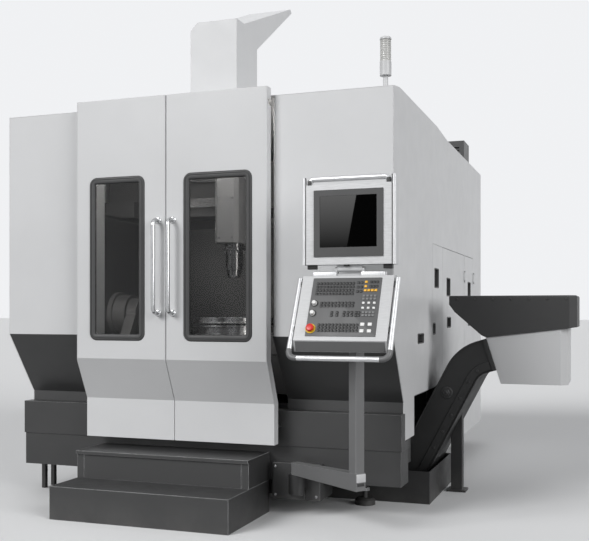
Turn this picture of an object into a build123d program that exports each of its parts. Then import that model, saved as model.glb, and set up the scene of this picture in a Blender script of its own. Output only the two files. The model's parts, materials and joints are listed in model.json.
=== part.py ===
from build123d import *
import os
from math import cos, hypot, radians, sin, tan

# Enclosed vertical machining centre, in millimetres, +Z up, the operator on the -Y side.
# While it is drawn, x = 0 is the middle of the enclosure and y = 0 the plane of its white front panels.

# Gauges and gaps shared by all pieces
sheet = 4.0
seam_gap = 3.0
running_gap = 0.3
overrun = 60.0

# Coolant tank, feet and bed
tank_height = 192.0
tank_clear = 18.0
tank_setback = 656.0
tank_depth = 747.0
tank_proud = 63.0
tank_left_reach = 400.0
foot_radius = 60.0
foot_pad = 40.0
stud_radius = 15.0
prop_side = 26.0
prop_lap = 60.0
prop_pitch = 99.0
prop_inset = 91.0
foot_inset = 200.0
bed_side_gap = 100.0
bed_wall = 250.0
bed_height = 390.0
bed_tail = 350.0
bed_deck = 120.0
bed_rear_gap = 90.0
cast_wall = 45.0

# Skirt and aprons
skirt_setback = 161.0
skirt_depth = 186.0
skirt_drop = 25.0
skirt_height = 393.0
skirt_proud = 8.0
skirt_lip = 6.0
skirt_seam_share = 0.494
apron_band = 59.0
apron_rise = 364.0
apron_recess = 245.0

# Enclosure
enclosure_width = 2400.0
enclosure_depth = 3290.0
roof_clear = 36.0
roof_front_drop = 22.0
roof_bevel = 146.0
roof_rear_start = 1237.0
roof_rear_run = 360.0
roof_rear_drop = 23.0
panel_bottom = 190.0
jamb_depth = 250.0
panel_edge_radius = 20.0

# Right side panel
side_strip_bottom = 424.0
side_strip_depth = 273.0
chip_cutout_clear = 14.0
chip_cutout_depth = 885.0
service_bottom = 420.0
service_height = 1148.0
service_strip = 24.0
magazine_door_width = 930.0
rear_door_width = 435.0
rear_door_inset = 461.0
grip_width = 142.0
grip_height = 118.0
grip_depth = 24.0
grip_drop = 260.0
latch_drop = 506.0
latch_width = 150.0
latch_height = 66.0
latch_shift = 20.0
magazine_grip_margin = 230.0
rear_grip_margin = 229.0
small_grip_width = 175.0
small_grip_height = 50.0
front_grip_y = 710.0
front_grip_z = 977.0
fixed_grip_margin = 216.0
fixed_grip_z = 1355.0
fixed_latch_margin = 302.0
fixed_latch_z = 1028.0
fixed_latch_width = 82.0
fixed_cover_width = 359.0
cabinet_door_width = 1100.0
cabinet_grip_margin = 230.0
hinge_radius = 7.0
pin_radius = 4.0
knuckle_height = 60.0
lug_height = 14.0
strap_length = 22.0
hinge_place_share = 0.36

# Work area, table and spindle
axis_setback = 687.0
floor_clear = 40.0
floor_fall = 120.0
liner_rim = 10.0
liner_setback = 260.0
sill_height = 240.0
chip_hole_width = 240.0
chip_hole_inset = 10.0
swing_clear = 54.0
bearing_radius = 130.0
bearing_length = 120.0
bearing_lip = 18.0
bearing_lip_depth = 30.0
shaft_radius = 60.0
shaft_length = 100.0
arm_side_gap = 2.0
cradle_arm = 70.0
cradle_eye_radius = 110.0
bridge_half_depth = 190.0
bridge_thickness = 100.0
table_sink = 20.0
table_radius = 263.0
table_disc = 40.0
table_ring = 60.0
table_ring_inset = 33.0
table_base = 20.0
table_base_inset = 13.0
table_bore_radius = 25.0
table_bore_depth = 30.0
slot_width = 14.0
slot_depth = 12.0
slot_foot_width = 24.0
slot_foot_depth = 11.0
slot_pitch = 63.0
spindle_gap = 253.0
nose_length = 47.0
nose_radius = 45.0
tool_bore_radius = 20.0
tool_bore_depth = 60.0
quill_radius = 35.0
quill_length = 110.0
sleeve_radius = 56.5
sleeve_length = 170.0
sleeve_collar = 6.0
collar_height = 30.0
ram_width = 160.0
ram_nose = 143.0
ram_depth = 317.0
ram_height = 550.0
ram_lift = 185.0
ram_chamfer = 24.0
saddle_width = 380.0
saddle_depth = 98.0
saddle_inset = 30.0
rail_width = 60.0
rail_height = 40.0
beam_over = 20.0
beam_height = 350.0
beam_depth = 300.0
beam_end_gap = 40.0
truck_height = 110.0
truck_reach = 100.0
beam_travel = 250.0
chamber_margin = 100.0

# Sliding doors
door_depth = 60.0
door_gap = 10.0
door_split = 97.0
left_door_width = 581.0
right_door_width = 614.0
meeting_gap = 4.0
door_edge_gap = 7.0
door_rise = 37.0
door_bend_drop = 135.0
door_slope_rise = 240.0
door_slope_run = 113.0
door_foot = 229.0
door_edge_radius = 8.0
left_window_margin = 90.0
left_window_width = 360.0
right_window_margin = 113.0
right_window_width = 415.0
window_sill = 104.0
window_height = 943.0
window_radius = 45.0
gasket_width = 38.0
gasket_proud = 7.0
gasket_depth = 20.0
pane = 6.0
handle_offset = 46.0
handle_sill = 264.0
handle_length = 523.0
handle_reach = 60.0
handle_radius = 12.0
handle_bend = 34.0
head_rail_drop = 33.0
head_rail_height = 20.0
head_rail_reach = 40.0
head_rail_clear = 6.0
hanger_height = 26.0
hanger_length = 30.0
hanger_inset = 10.0
rail_end_inset = 24.0
foot_rail_height = 16.0
foot_rail_drop = 90.0

# Step
step_inset_left = 50.0
step_inset_right = 78.0
step_clear = 57.0
step_reach = 411.0
upper_reach = 152.0
lower_rise_share = 0.535
tread_thickness = 20.0
tread_overhang = 14.0
riser_margin = 44.0

# Roof hood, rear roof unit and beacon
hood_width = 306.0
hood_setback = 367.0
hood_depth = 326.0
hood_height = 554.0
hood_flat = 116.0
hood_back_drop = 100.0
flare_reach = 949.0
flare_rise = 352.0
flare_tip_back = 29.0
flare_tip_drop = 18.0
hood_chamfer = 45.0
unit_inset = 100.0
unit_width = 800.0
unit_depth = 270.0
unit_height = 256.0
unit_rear_gap = 12.0
louvre_count = 7
louvre_depth = 12.0
louvre_margin = 40.0
beacon_inset = 88.0
beacon_setback = 186.0
beacon_foot_radius = 34.0
beacon_foot = 10.0
beacon_stem_radius = 14.0
beacon_stem = 79.0
beacon_radius = 32.0
beacon_socket = 76.0
beacon_lens = 120.0
beacon_lens_inset = 1.5
beacon_cap = 16.0
beacon_cap_radius = 12.0

# Chip conveyor
conveyor_setback = 906.0
conveyor_width = 460.0
casing_thickness = 200.0
casing_start = 640.0
casing_side_offset = 130.0
casing_rise_deg = 62.5
casing_head_deg = 17.5
casing_rise = 732.0
casing_bend = 200.0
casing_head_run = 146.0
casing_flange = 12.0
casing_flange_length = 24.0
belt_loop = 110.0
belt_plate = 6.0
belt_end_gap = 70.0
belt_head_reach = 40.0
chute_lip = 6.0
chute_drop = 185.0
chute_mouth = 386.0
corner_bevel = 40.0
head_rise_deg = 7.0
head_length = 525.0
head_back = 222.0
head_height = 253.0
head_back_face = 54.0
head_knee_run = 32.0
head_knee_drop = 44.0
head_toe_run = 28.0
head_toe_rise = 14.0
head_proud = 8.0
head_edge_radius = 10.0
motor_radius = 70.0
motor_length = 190.0
motor_flange = 84.0
motor_flange_length = 24.0
motor_place_share = 0.55
leg_side = 70.0
leg_foot = 120.0
leg_foot_thickness = 12.0
leg_reach = 278.0

# Control panel arm
bracket_gap = 33.0
bracket_width = 286.0
bracket_proud = 41.0
bracket_lap = 107.0
bracket_height = 202.0
bracket_edge_radius = 10.0
bracket_seam_width = 4.0
pivot_share = 0.59
seam_share = 0.69
pivot_reach = 56.0
hub_radius = 45.0
hub_height = 116.0
hub_foot_width = 70.0
hub_top_drop = 50.0
pivot_pin_radius = 15.0
pivot_pin_height = 40.0
arm_deg = 36.4
arm_length = 533.0
arm_eye_radius = 30.0
arm_width = 60.0
arm_root_height = 64.0
arm_tip_height = 88.0
arm_tip_reach = 34.0
post_side = 58.0
post_height = 838.0
post_edge_radius = 6.0
swivel_radius = 30.0
swivel_height = 60.0
swivel_pin_depth = 40.0

# Keyboard and display
panel_rise = 237.0
panel_shift = 33.0
panel_reach = 36.0
bracket_plate_width = 220.0
bracket_plate = 10.0
upright_width = 120.0
upright_depth = 36.0
upright_offset = 22.0
hinge_lug = 12.0
hinge_lug_place = 64.0
hinge_eye_radius = 12.0
hinge_rise = 23.0
hinge_pin_radius = 5.0
keyboard_width = 472.0
keyboard_run = 160.0
keyboard_drop = 319.0
keyboard_face = 57.0
keyboard_face_inset = 15.0
keyboard_foot = 65.0
keyboard_top_depth = 50.0
keyboard_back_drop = 57.0
keyboard_edge_radius = 6.0
key_plate_width = 355.0
key_plate_height = 322.0
key_plate_margin = 14.0
key_plate_thickness = 3.0
key_proud = 4.0
key_fill_share = 0.72
tube_radius = 15.0
tube_gap = 17.0
tube_top_margin = 10.0
tube_reach = 446.0
tube_sink = 15.0
tube_bend = 36.0
tube_lug_radius = 7.0
tube_lug_margin = 44.0
tube_lug_pitch = 250.0
stop_radius = 20.0
stop_crown = 12.0
stop_travel = 5.0
stop_stem_radius = 8.0
stop_stem = 18.0
stop_collar_radius = 26.0
stop_collar = 5.0
knob_radius = 13.0
knob_height = 18.0
knob_stem_radius = 5.0
knob_pointer = 2.0
display_width = 476.0
display_height = 402.0
display_depth = 90.0
display_gap = 56.0
display_edge_radius = 14.0
vent_count = 6
vent_length = 220.0
vent_width = 8.0
bezel_width = 359.0
bezel_height = 335.0
bezel_sill = 40.0
bezel_proud = 6.0
screen_width = 295.0
screen_height = 259.0
screen_sill = 46.0
screen_thickness = 3.0
display_handle_width = 410.0
display_handle_rise = 31.0
display_handle_setback = 16.0
display_handle_radius = 14.0
display_handle_bend = 20.0

# Keys on the plate: across from, to and count, then down from, to and count, as shares of the plate
key_block_shares = (
    (0.08, 0.60, 12, 0.10, 0.28, 4),
    (0.67, 0.72, 2, 0.09, 0.24, 3),
    (0.78, 0.78, 1, 0.08, 0.155, 2),
    (0.78, 0.93, 4, 0.225, 0.225, 1),
    (0.85, 0.94, 3, 0.08, 0.155, 2),
    (0.77, 0.93, 4, 0.32, 0.37, 2),
    (0.775, 0.93, 3, 0.44, 0.525, 2),
    (0.173, 0.628, 10, 0.44, 0.49, 2),
    (0.343, 0.42, 2, 0.60, 0.65, 2),
    (0.52, 0.63, 3, 0.60, 0.65, 2),
    (0.69, 0.73, 2, 0.60, 0.65, 2),
    (0.79, 0.90, 3, 0.60, 0.65, 2),
    (0.183, 0.728, 12, 0.81, 0.91, 3),
    (0.80, 0.905, 2, 0.80, 0.91, 2),
)
key_pitch_share = 0.047
key_row_share = 0.05
stop_place_shares = (0.068, 0.876)
feed_knob_shares = (0.072, 0.445)
speed_knob_shares = (0.065, 0.615)

# Heights that follow, from the floor up
bed_bottom = tank_height + tank_clear
bed_top = bed_bottom + bed_height
skirt_bottom = bed_bottom - skirt_drop
skirt_top = skirt_bottom + skirt_height
apron_bottom = skirt_top + apron_band
white_bottom = apron_bottom + apron_rise
floor_low = bed_top + floor_clear
floor_high = floor_low + floor_fall
table_stack = table_disc + table_ring + table_base
cradle_depth = table_sink + table_stack + running_gap + bridge_thickness
trunnion_z = floor_high + hypot(cradle_depth, bridge_half_depth) + swing_clear
table_top = trunnion_z - table_sink
bridge_top = table_top - table_stack - running_gap
bridge_bottom = bridge_top - bridge_thickness
nose_z = table_top + spindle_gap
sleeve_bottom = nose_z + nose_length
ram_bottom = sleeve_bottom + sleeve_length
ram_top = ram_bottom + ram_height
roof_height = ram_top + ram_lift + roof_clear + sheet
roof_front = roof_height - roof_front_drop
roof_rear = roof_height - roof_rear_drop
beam_top = ram_top + beam_over
beam_bottom = beam_top - beam_height
wall_top = beam_bottom - running_gap - rail_height
liner_top = wall_top - liner_rim
door_top = roof_front + door_rise
door_bend = white_bottom - door_bend_drop
door_low_bend = door_bend - door_slope_rise
door_bottom = door_low_bend - door_foot
step_top = door_bottom - step_clear
lower_step_top = step_top * lower_rise_share

# Places that follow, from left to right and from front to back
half_width = enclosure_width / 2
bed_half = half_width - bed_side_gap
liner_half = bed_half - bed_wall
liner_inside = liner_half - sheet
left_door_edge = -door_split - left_door_width
right_door_edge = -door_split + right_door_width
left_panel_edge = left_door_edge - door_edge_gap
right_panel_edge = right_door_edge + door_edge_gap
door_front = -(door_depth + door_gap)
bed_front = skirt_setback + skirt_depth
ram_front = axis_setback - ram_nose
ram_back = ram_front + ram_depth
saddle_front = ram_back + running_gap
saddle_back = saddle_front + saddle_depth
beam_rail_front = saddle_back + running_gap
beam_front = beam_rail_front + rail_height
beam_back = beam_front + beam_depth
bed_wall_back = beam_back + beam_travel + bed_tail
bed_back = enclosure_depth - bed_rear_gap
chamber_back = beam_back + chamber_margin
conveyor_back = conveyor_setback + conveyor_width
skirt_foot_y = skirt_setback + skirt_lip
step_left = left_door_edge + step_inset_left
step_right = right_door_edge - step_inset_right

# The line of the roof, seen from the side
roof_line = (
    (0, roof_front),
    (roof_bevel, roof_height),
    (roof_rear_start, roof_height),
    (roof_rear_start + roof_rear_run, roof_rear),
    (enclosure_depth, roof_rear),
)

# The conveyor's centre line, seen from the front
casing_low = sheet + casing_thickness / 2
casing_foot_x = half_width - casing_side_offset
casing_knee = (casing_foot_x + casing_rise / tan(radians(casing_rise_deg)), casing_low + casing_rise)
head_run = (cos(radians(casing_head_deg)), sin(radians(casing_head_deg)))
casing_end = (casing_knee[0] + casing_head_run * head_run[0], casing_knee[1] + casing_head_run * head_run[1])


def block(x0, x1, y0, y1, z0, z1):
    """A box between two opposite corners."""
    corner = (Align.MIN, Align.MIN, Align.MIN)
    return Pos(x0, y0, z0) * Box(x1 - x0, y1 - y0, z1 - z0, align=corner)


def rod(x, y, z0, z1, radius):
    """An upright cylinder."""
    return Pos(x, y, z0) * Cylinder(radius, z1 - z0, align=(Align.CENTER, Align.CENTER, Align.MIN))


def cross_rod(x0, x1, y, z, radius):
    """A cylinder that lies along X."""
    upright = Cylinder(radius, x1 - x0, align=(Align.CENTER, Align.CENTER, Align.MIN))
    return Pos(x0, y, z) * Rot(0, 90, 0) * upright


def along_x(outline, x0, x1):
    """An outline of (y, z) points carried from x0 to x1."""
    face = Plane.YZ * Polygon(*outline, align=None)
    return Pos(x0, 0, 0) * extrude(face, x1 - x0, dir=(1, 0, 0))


def face_along_y(face, y0, y1):
    """A flat face drawn in (x, z), carried from y0 to y1."""
    return Pos(0, y0, 0) * extrude(Plane.XZ * face, y1 - y0, dir=(0, 1, 0))


def along_z(outline, z0, z1):
    """An outline of (x, y) points carried from z0 to z1."""
    return Pos(0, 0, z0) * extrude(Polygon(*outline, align=None), z1 - z0, dir=(0, 0, 1))


def rounded_slab(x0, x1, y0, y1, z0, z1, radius):
    """A plate facing -Y, with four round corners."""
    middle = Pos((x0 + x1) / 2, (z0 + z1) / 2)
    return face_along_y(middle * RectangleRounded(x1 - x0, z1 - z0, radius), y0, y1)


def bent_tube(points, bend, radius):
    """A round tube along straight runs joined by bends."""
    path = FilletPolyline(*points, radius=bend)
    return sweep(Plane(origin=path @ 0, z_dir=path % 0) * Circle(radius), path=path)


def cells(low, high, count):
    """The clear spans between ribs that split a length into equal cells."""
    pitch = (high - low - cast_wall) / count
    return [(low + cast_wall + n * pitch, low + (n + 1) * pitch) for n in range(count)]


def bed_pockets():
    """The hollows of the ribbed casting: up from below, in from both sides and in from the back."""
    across = bed_half - foot_inset
    rib = cast_wall / 2
    columns = ((rib - across, -rib), (rib, casing_start - tank_clear - cast_wall))
    pockets = []
    for y0, y1 in cells(bed_front, bed_wall_back, 3):
        for x0, x1 in columns:
            pockets.append(block(x0, x1, y0, y1, bed_bottom - overrun, bed_top - cast_wall))
        low = bed_top + cast_wall
        high = wall_top - cast_wall
        pockets.append(block(-bed_half - overrun, -liner_half - cast_wall, y0, y1, low, high))
        pockets.append(block(liner_half + cast_wall, bed_half + overrun, y0, y1, low, high))
    for x0, x1 in cells(-liner_half, liner_half, 3):
        y0 = chamber_back + cast_wall
        y1 = bed_wall_back + overrun
        pockets.append(block(x0, x1, y0, y1, bed_top + cast_wall, trunnion_z - cast_wall))
    return pockets


def machine_bed():
    base = block(-bed_half, bed_half, bed_front, bed_wall_back, bed_bottom, bed_top)
    deck = block(-bed_half, bed_half, bed_wall_back, bed_back, bed_bottom, bed_bottom + bed_deck)
    left = block(-bed_half, -liner_half, bed_front, bed_wall_back, bed_top, wall_top)
    right = block(liner_half, bed_half, bed_front, bed_wall_back, bed_top, wall_top)
    rear = block(-liner_half, liner_half, chamber_back, bed_wall_back, bed_top, trunnion_z)
    tunnel = block(
        casing_start - tank_clear, bed_half + overrun,
        conveyor_setback - tank_clear, conveyor_back + tank_clear,
        bed_bottom - overrun, bed_top,
    )
    well = block(
        liner_inside - chip_hole_width, liner_inside,
        conveyor_setback, conveyor_back,
        bed_top - overrun, bed_top + overrun,
    )
    return base + deck + left + right + rear - tunnel - well - bed_pockets()


def levelling_feet():
    feet = []
    across = bed_half - foot_inset
    rows = (bed_front + foot_inset, bed_wall_back - foot_inset, bed_back - foot_inset)
    for y in rows:
        for x in (-across, 0, across):
            pad = rod(x, y, 0, foot_pad, foot_radius)
            pad = chamfer(pad.edges().group_by(Axis.Z)[-1], foot_pad / 3)
            feet.append(pad + rod(x, y, foot_pad, bed_bottom, stud_radius))
    inside = sheet - half_width
    top = side_strip_bottom + prop_lap
    for y in (bed_front + prop_inset, bed_front + prop_inset - prop_pitch):
        back = y + prop_side / 2
        feet.append(block(inside, inside + prop_side, back - prop_side, back, 0, top))
    return feet


def base_skirt():
    """Two folded covers, one on the other, open to the back and below, let in behind the side panels."""
    out = half_width + skirt_proud
    seam = skirt_bottom + skirt_height * skirt_seam_share
    upper = block(-out, out, skirt_setback, bed_front, seam, skirt_top)
    lower = block(-out + skirt_lip, out - skirt_lip, skirt_setback + skirt_lip, bed_front, skirt_bottom, seam)
    inside = block(
        -out + skirt_lip + sheet, out - skirt_lip - sheet,
        skirt_setback + skirt_lip + sheet, bed_front + overrun,
        skirt_bottom - overrun, skirt_top - sheet,
    )
    skirt = upper + lower - inside
    for side in (-1, 1):
        ends = (side * (half_width - sheet - seam_gap), side * (out + overrun))
        skirt -= block(
            min(ends), max(ends), apron_recess - seam_gap, bed_front + overrun,
            side_strip_bottom - seam_gap, skirt_top + overrun,
        )
    return skirt


def edges_at(panel, x, y):
    """The upright edges of a folded panel at one place of its plan."""
    upright = panel.edges().filter_by(Axis.Z)
    return [e for e in upright if hypot(e.center().X - x, e.center().Y - y) < sheet / 2]


def front_panel(outer_x, edge_x, inward):
    """A white front panel with its rounded inner edge and the jamb folded back from it."""
    inner = edge_x - inward * sheet
    outline = (
        (outer_x, 0), (edge_x, 0), (edge_x, jamb_depth),
        (inner, jamb_depth), (inner, sheet), (outer_x, sheet),
    )
    panel = along_z(outline, white_bottom, roof_front - sheet)
    panel = fillet(edges_at(panel, inner, sheet), panel_edge_radius - sheet)
    return fillet(edges_at(panel, edge_x, 0), panel_edge_radius)


def apron(outer_x, edge_x):
    """The dark cover that slopes back under a front panel, down to the skirt."""
    outline = (
        (0, white_bottom), (apron_recess, apron_bottom), (apron_recess, skirt_top),
        (apron_recess + sheet, skirt_top), (apron_recess + sheet, apron_bottom + sheet),
        (sheet, white_bottom),
    )
    return along_x(outline, min(outer_x, edge_x), max(outer_x, edge_x))


def side_outline():
    """The edge of a side panel: the roof line, the back, the foot and the slope of the front."""
    foot = (
        (enclosure_depth, panel_bottom),
        (bed_front, panel_bottom),
        (bed_front, side_strip_bottom),
        (apron_recess, side_strip_bottom),
        (apron_recess, apron_bottom),
        (0, white_bottom),
    )
    return roof_line + foot


def left_side_panel():
    return along_x(side_outline(), -half_width, -half_width + sheet)


def grip_cup(width, height):
    """A shallow grip pocket behind the face x = 0, which opens towards +X."""
    w = width / 2
    h = height / 2
    cup = block(-grip_depth, 0, -w - sheet, w + sheet, -h - sheet, h + sheet)
    hollow = block(-grip_depth + sheet, overrun, -w, w, -h, h)
    return cup, hollow


def service_door(width, height, grip_margin):
    """A flat hinged cover: hinge axis on the local Z axis, face to +X, free edge at -Y."""
    face = -hinge_radius
    edge = -seam_gap / 2
    door = block(face - sheet, face, edge - width, edge, -height / 2, height / 2)
    for place in (-hinge_place_share, hinge_place_share):
        z = height * place
        half = knuckle_height / 2
        door += rod(0, 0, z - half, z + half, hinge_radius)
        door += block(face, 0, -strap_length, edge, z - half, z + half)
    for place in (-hinge_place_share, hinge_place_share):
        z = height * place
        door -= rod(0, 0, z - knuckle_height, z + knuckle_height, pin_radius + running_gap)
    pockets = (
        (grip_margin, grip_drop, grip_width, grip_height),
        (grip_margin + latch_shift, latch_drop, latch_width, latch_height),
    )
    for margin, drop, pocket_width, pocket_height in pockets:
        cup, hollow = grip_cup(pocket_width, pocket_height)
        place = Pos(face, margin - width, height / 2 - drop)
        door = door + place * cup - place * hollow
    return door


def hinge_lugs(height):
    """The fixed halves of a service door's two hinges: lugs above and below the knuckle, and the pin."""
    parts = []
    for place in (-hinge_place_share, hinge_place_share):
        z = height * place
        half = knuckle_height / 2 + running_gap
        pin = rod(0, 0, z - half - lug_height, z + half + lug_height, pin_radius)
        for low in (z - half - lug_height, z + half):
            pin += rod(0, 0, low, low + lug_height, hinge_radius)
            pin += block(-hinge_radius, 0, seam_gap / 2, strap_length, low, low + lug_height)
        parts.append(pin)
    return parts


service_middle = service_bottom + service_height / 2
rear_hinge_y = enclosure_depth - rear_door_inset
magazine_hinge_y = rear_hinge_y - seam_gap - rear_door_width - service_strip
magazine_edge_y = magazine_hinge_y - magazine_door_width
rear_hinge = Pos(half_width + hinge_radius, rear_hinge_y, service_middle)
magazine_hinge = Pos(half_width + hinge_radius, magazine_hinge_y, service_middle)
cabinet_hinge = Pos(-cabinet_door_width / 2, enclosure_depth + hinge_radius, service_middle) * Rot(0, 0, 90)


def door_opening(width, height):
    """The hole for a service door, in the door's own frame."""
    low = -height / 2 - seam_gap
    high = height / 2 + seam_gap
    return block(-overrun, overrun, -width - seam_gap * 3 / 2, seam_gap / 2, low, high)


def right_side_panel():
    panel = along_x(side_outline(), half_width - sheet, half_width)
    cut_top = apron_bottom + chip_cutout_clear
    cut_front = apron_recess + side_strip_depth
    below = (panel_bottom - overrun, side_strip_bottom)
    x0 = half_width - overrun
    x1 = half_width + overrun
    panel -= block(x0, x1, bed_front - overrun, cut_front, *below)
    panel -= block(x0, x1, cut_front, cut_front + chip_cutout_depth, panel_bottom - overrun, cut_top)
    for hinge, width in ((magazine_hinge, magazine_door_width), (rear_hinge, rear_door_width)):
        panel -= hinge * door_opening(width, service_height)
        for lug in hinge_lugs(service_height):
            panel += hinge * lug
    grips = (
        (front_grip_y, front_grip_z, small_grip_width, small_grip_height),
        (magazine_edge_y - fixed_grip_margin, fixed_grip_z, grip_width, grip_height),
        (magazine_edge_y - fixed_latch_margin, fixed_latch_z, fixed_latch_width, latch_height),
    )
    for y, z, width, height in grips:
        cup, hollow = grip_cup(width, height)
        panel = panel + Pos(half_width, y, z) * cup - Pos(half_width, y, z) * hollow
    seam_start = magazine_edge_y - fixed_cover_width
    seam_top = service_bottom + service_height
    groove = half_width - sheet / 2
    panel -= block(groove, x1, seam_start, seam_start + seam_gap, cut_top, seam_top + seam_gap)
    return panel - block(groove, x1, seam_start, magazine_edge_y, seam_top, seam_top + seam_gap)


def rear_panel():
    inside = half_width - sheet
    panel = block(-inside, inside, enclosure_depth - sheet, enclosure_depth, panel_bottom, roof_rear - sheet)
    panel -= cabinet_hinge * door_opening(cabinet_door_width, service_height)
    for lug in hinge_lugs(service_height):
        panel += cabinet_hinge * lug
    return panel


def roof_panel():
    under = [(y, z - sheet) for y, z in reversed(roof_line)]
    return along_x(list(roof_line) + under, -half_width + sheet, half_width - sheet)


def door_rails():
    """The rail under the roof's edge that carries the leaves, and the guide along the skirt."""
    z1 = roof_front - head_rail_drop
    x0 = left_door_edge + rail_end_inset
    x1 = right_door_edge - rail_end_inset
    head = block(x0, x1, -door_gap - head_rail_reach, 0, z1 - head_rail_height, z1)
    head += block(x0, x1, -sheet, 0, z1, roof_front)
    y0 = door_front + door_slope_run + door_depth + running_gap
    z0 = skirt_top - foot_rail_drop
    guide = block(left_door_edge, right_door_edge, y0, skirt_setback, z0, z0 + foot_rail_height)
    return [head, guide]


def work_area_liner():
    """Folded walls of the work area and the floor that sheds chips to the right."""
    floor_outline = (
        (-liner_half, floor_high), (liner_half, floor_low),
        (liner_half, floor_low - sheet), (-liner_half, floor_high - sheet),
    )
    floor = face_along_y(Polygon(*floor_outline, align=None), liner_setback, chamber_back)
    hole = block(
        liner_inside - chip_hole_width, liner_inside - chip_hole_inset,
        conveyor_setback + chip_hole_inset, conveyor_back - chip_hole_inset,
        floor_low - overrun, floor_high,
    )
    back = chamber_back
    left = block(-liner_half, -liner_inside, liner_setback, back, floor_high - sheet, liner_top)
    right = block(liner_inside, liner_half, liner_setback, back, floor_low - sheet, liner_top)
    rear = block(-liner_half, liner_half, back - sheet, back, floor_low, liner_top)
    sill_back = liner_setback + sheet
    sill = block(-liner_half, liner_half, liner_setback, sill_back, floor_low, floor_low + sill_height)
    under = (
        (-liner_half, floor_high - sheet), (liner_half, floor_low - sheet),
        (liner_half, bed_bottom), (-liner_half, bed_bottom),
    )
    below = face_along_y(Polygon(*under, align=None), liner_setback - overrun, back + overrun)
    return floor + left + right + rear + sill - hole - below


def trunnion_bearings():
    housings = []
    for side in (-1, 1):
        outer = side * liner_inside
        inner = outer - side * bearing_length
        lip = outer - side * bearing_lip_depth
        body = cross_rod(min(outer, inner), max(outer, inner), axis_setback, trunnion_z, bearing_radius)
        flange = cross_rod(
            min(outer, lip), max(outer, lip), axis_setback, trunnion_z, bearing_radius + bearing_lip
        )
        bore = cross_rod(
            min(outer, inner) - overrun, max(outer, inner) + overrun,
            axis_setback, trunnion_z, shaft_radius + running_gap,
        )
        housings.append(body + flange - bore)
    return housings


def table_cradle():
    outer = liner_inside - bearing_length - arm_side_gap
    inner = outer - cradle_arm
    bridge = block(
        -outer, outer, axis_setback - bridge_half_depth, axis_setback + bridge_half_depth,
        bridge_bottom, bridge_top,
    )
    outline = (
        (axis_setback - bridge_half_depth, bridge_bottom), (axis_setback + bridge_half_depth, bridge_bottom),
        (axis_setback + bridge_half_depth, bridge_top), (axis_setback + cradle_eye_radius, trunnion_z),
        (axis_setback - cradle_eye_radius, trunnion_z), (axis_setback - bridge_half_depth, bridge_top),
    )
    cradle = bridge
    for side in (-1, 1):
        x0 = min(side * inner, side * outer)
        tip = side * (outer + shaft_length)
        cradle += along_x(outline, x0, x0 + cradle_arm)
        cradle += cross_rod(x0, x0 + cradle_arm, axis_setback, trunnion_z, cradle_eye_radius)
        ends = (min(side * inner, tip), max(side * inner, tip))
        cradle += cross_rod(*ends, axis_setback, trunnion_z, shaft_radius)
    return cradle


def rotary_table():
    """Three turned steps with a centre bore and T-slots across the top."""
    ring_top = table_top - table_disc
    base_top = ring_top - table_ring
    table = rod(0, axis_setback, ring_top, table_top, table_radius)
    table += rod(0, axis_setback, base_top, ring_top, table_radius - table_ring_inset)
    table += rod(0, axis_setback, base_top - table_base, base_top, table_radius - table_base_inset)
    table -= rod(0, axis_setback, table_top - table_bore_depth, table_top + overrun, table_bore_radius)
    neck_low = table_top - slot_depth
    reach = table_radius + overrun
    for step in (-3, -1, 1, 3):
        y = axis_setback + step * slot_pitch / 2 + step * slot_pitch / 6
        table -= block(-reach, reach, y - slot_width / 2, y + slot_width / 2, neck_low, table_top + overrun)
        table -= block(
            -reach, reach, y - slot_foot_width / 2, y + slot_foot_width / 2,
            neck_low - slot_foot_depth, neck_low,
        )
    return table


def spindle_shaft():
    nose = rod(0, axis_setback, nose_z, sleeve_bottom - running_gap, nose_radius)
    nose = chamfer(nose.edges().group_by(Axis.Z)[0], nose_length / 4)
    quill = rod(0, axis_setback, sleeve_bottom - nose_length / 2, sleeve_bottom + quill_length, quill_radius)
    return nose + quill - rod(0, axis_setback, nose_z - overrun, nose_z + tool_bore_depth, tool_bore_radius)


def spindle_sleeve():
    sleeve = rod(0, axis_setback, sleeve_bottom, ram_bottom, sleeve_radius)
    sleeve += rod(0, axis_setback, ram_bottom - collar_height, ram_bottom, sleeve_radius + sleeve_collar)
    bore_top = sleeve_bottom + quill_length + running_gap
    return sleeve - rod(0, axis_setback, sleeve_bottom - overrun, bore_top, quill_radius + running_gap)


def spindle_ram():
    ram = block(-ram_width / 2, ram_width / 2, ram_front, ram_back, ram_bottom, ram_top)
    return chamfer(ram.edges().filter_by(Axis.Z).group_by(Axis.Y)[0], ram_chamfer)


def head_saddle():
    z0 = beam_bottom + saddle_inset
    z1 = beam_top - saddle_inset
    saddle = block(-saddle_width / 2, saddle_width / 2, saddle_front, saddle_back, z0, z1)
    return chamfer(saddle.edges().filter_by(Axis.Z).group_by(Axis.Y)[0], saddle_depth / 2)


def cross_beam():
    beam = block(-bed_half, bed_half, beam_front, beam_back, beam_bottom, beam_top)
    for side in (-1, 1):
        x0 = min(side * liner_half, side * bed_half)
        beam += block(
            x0, x0 + bed_wall, beam_front - truck_reach, beam_back + truck_reach,
            beam_bottom, beam_bottom + truck_height,
        )
    for x0, x1 in cells(-bed_half, bed_half, 4):
        beam -= block(
            x0, x1, beam_front + cast_wall, beam_back + overrun,
            beam_bottom + truck_height + cast_wall, beam_top - cast_wall,
        )
    return beam


def beam_rails():
    reach = liner_half - beam_end_gap
    rails = []
    for z0 in (beam_bottom + saddle_inset + rail_width / 2, beam_top - saddle_inset - rail_width * 3 / 2):
        rails.append(block(-reach, reach, beam_rail_front, beam_front, z0, z0 + rail_width))
    return rails


def bed_rails():
    rails = []
    for side in (-1, 1):
        middle = side * (liner_half + bed_wall / 2)
        rails.append(block(
            middle - rail_width / 2, middle + rail_width / 2,
            bed_front, bed_wall_back, wall_top, wall_top + rail_height,
        ))
    return rails


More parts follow.
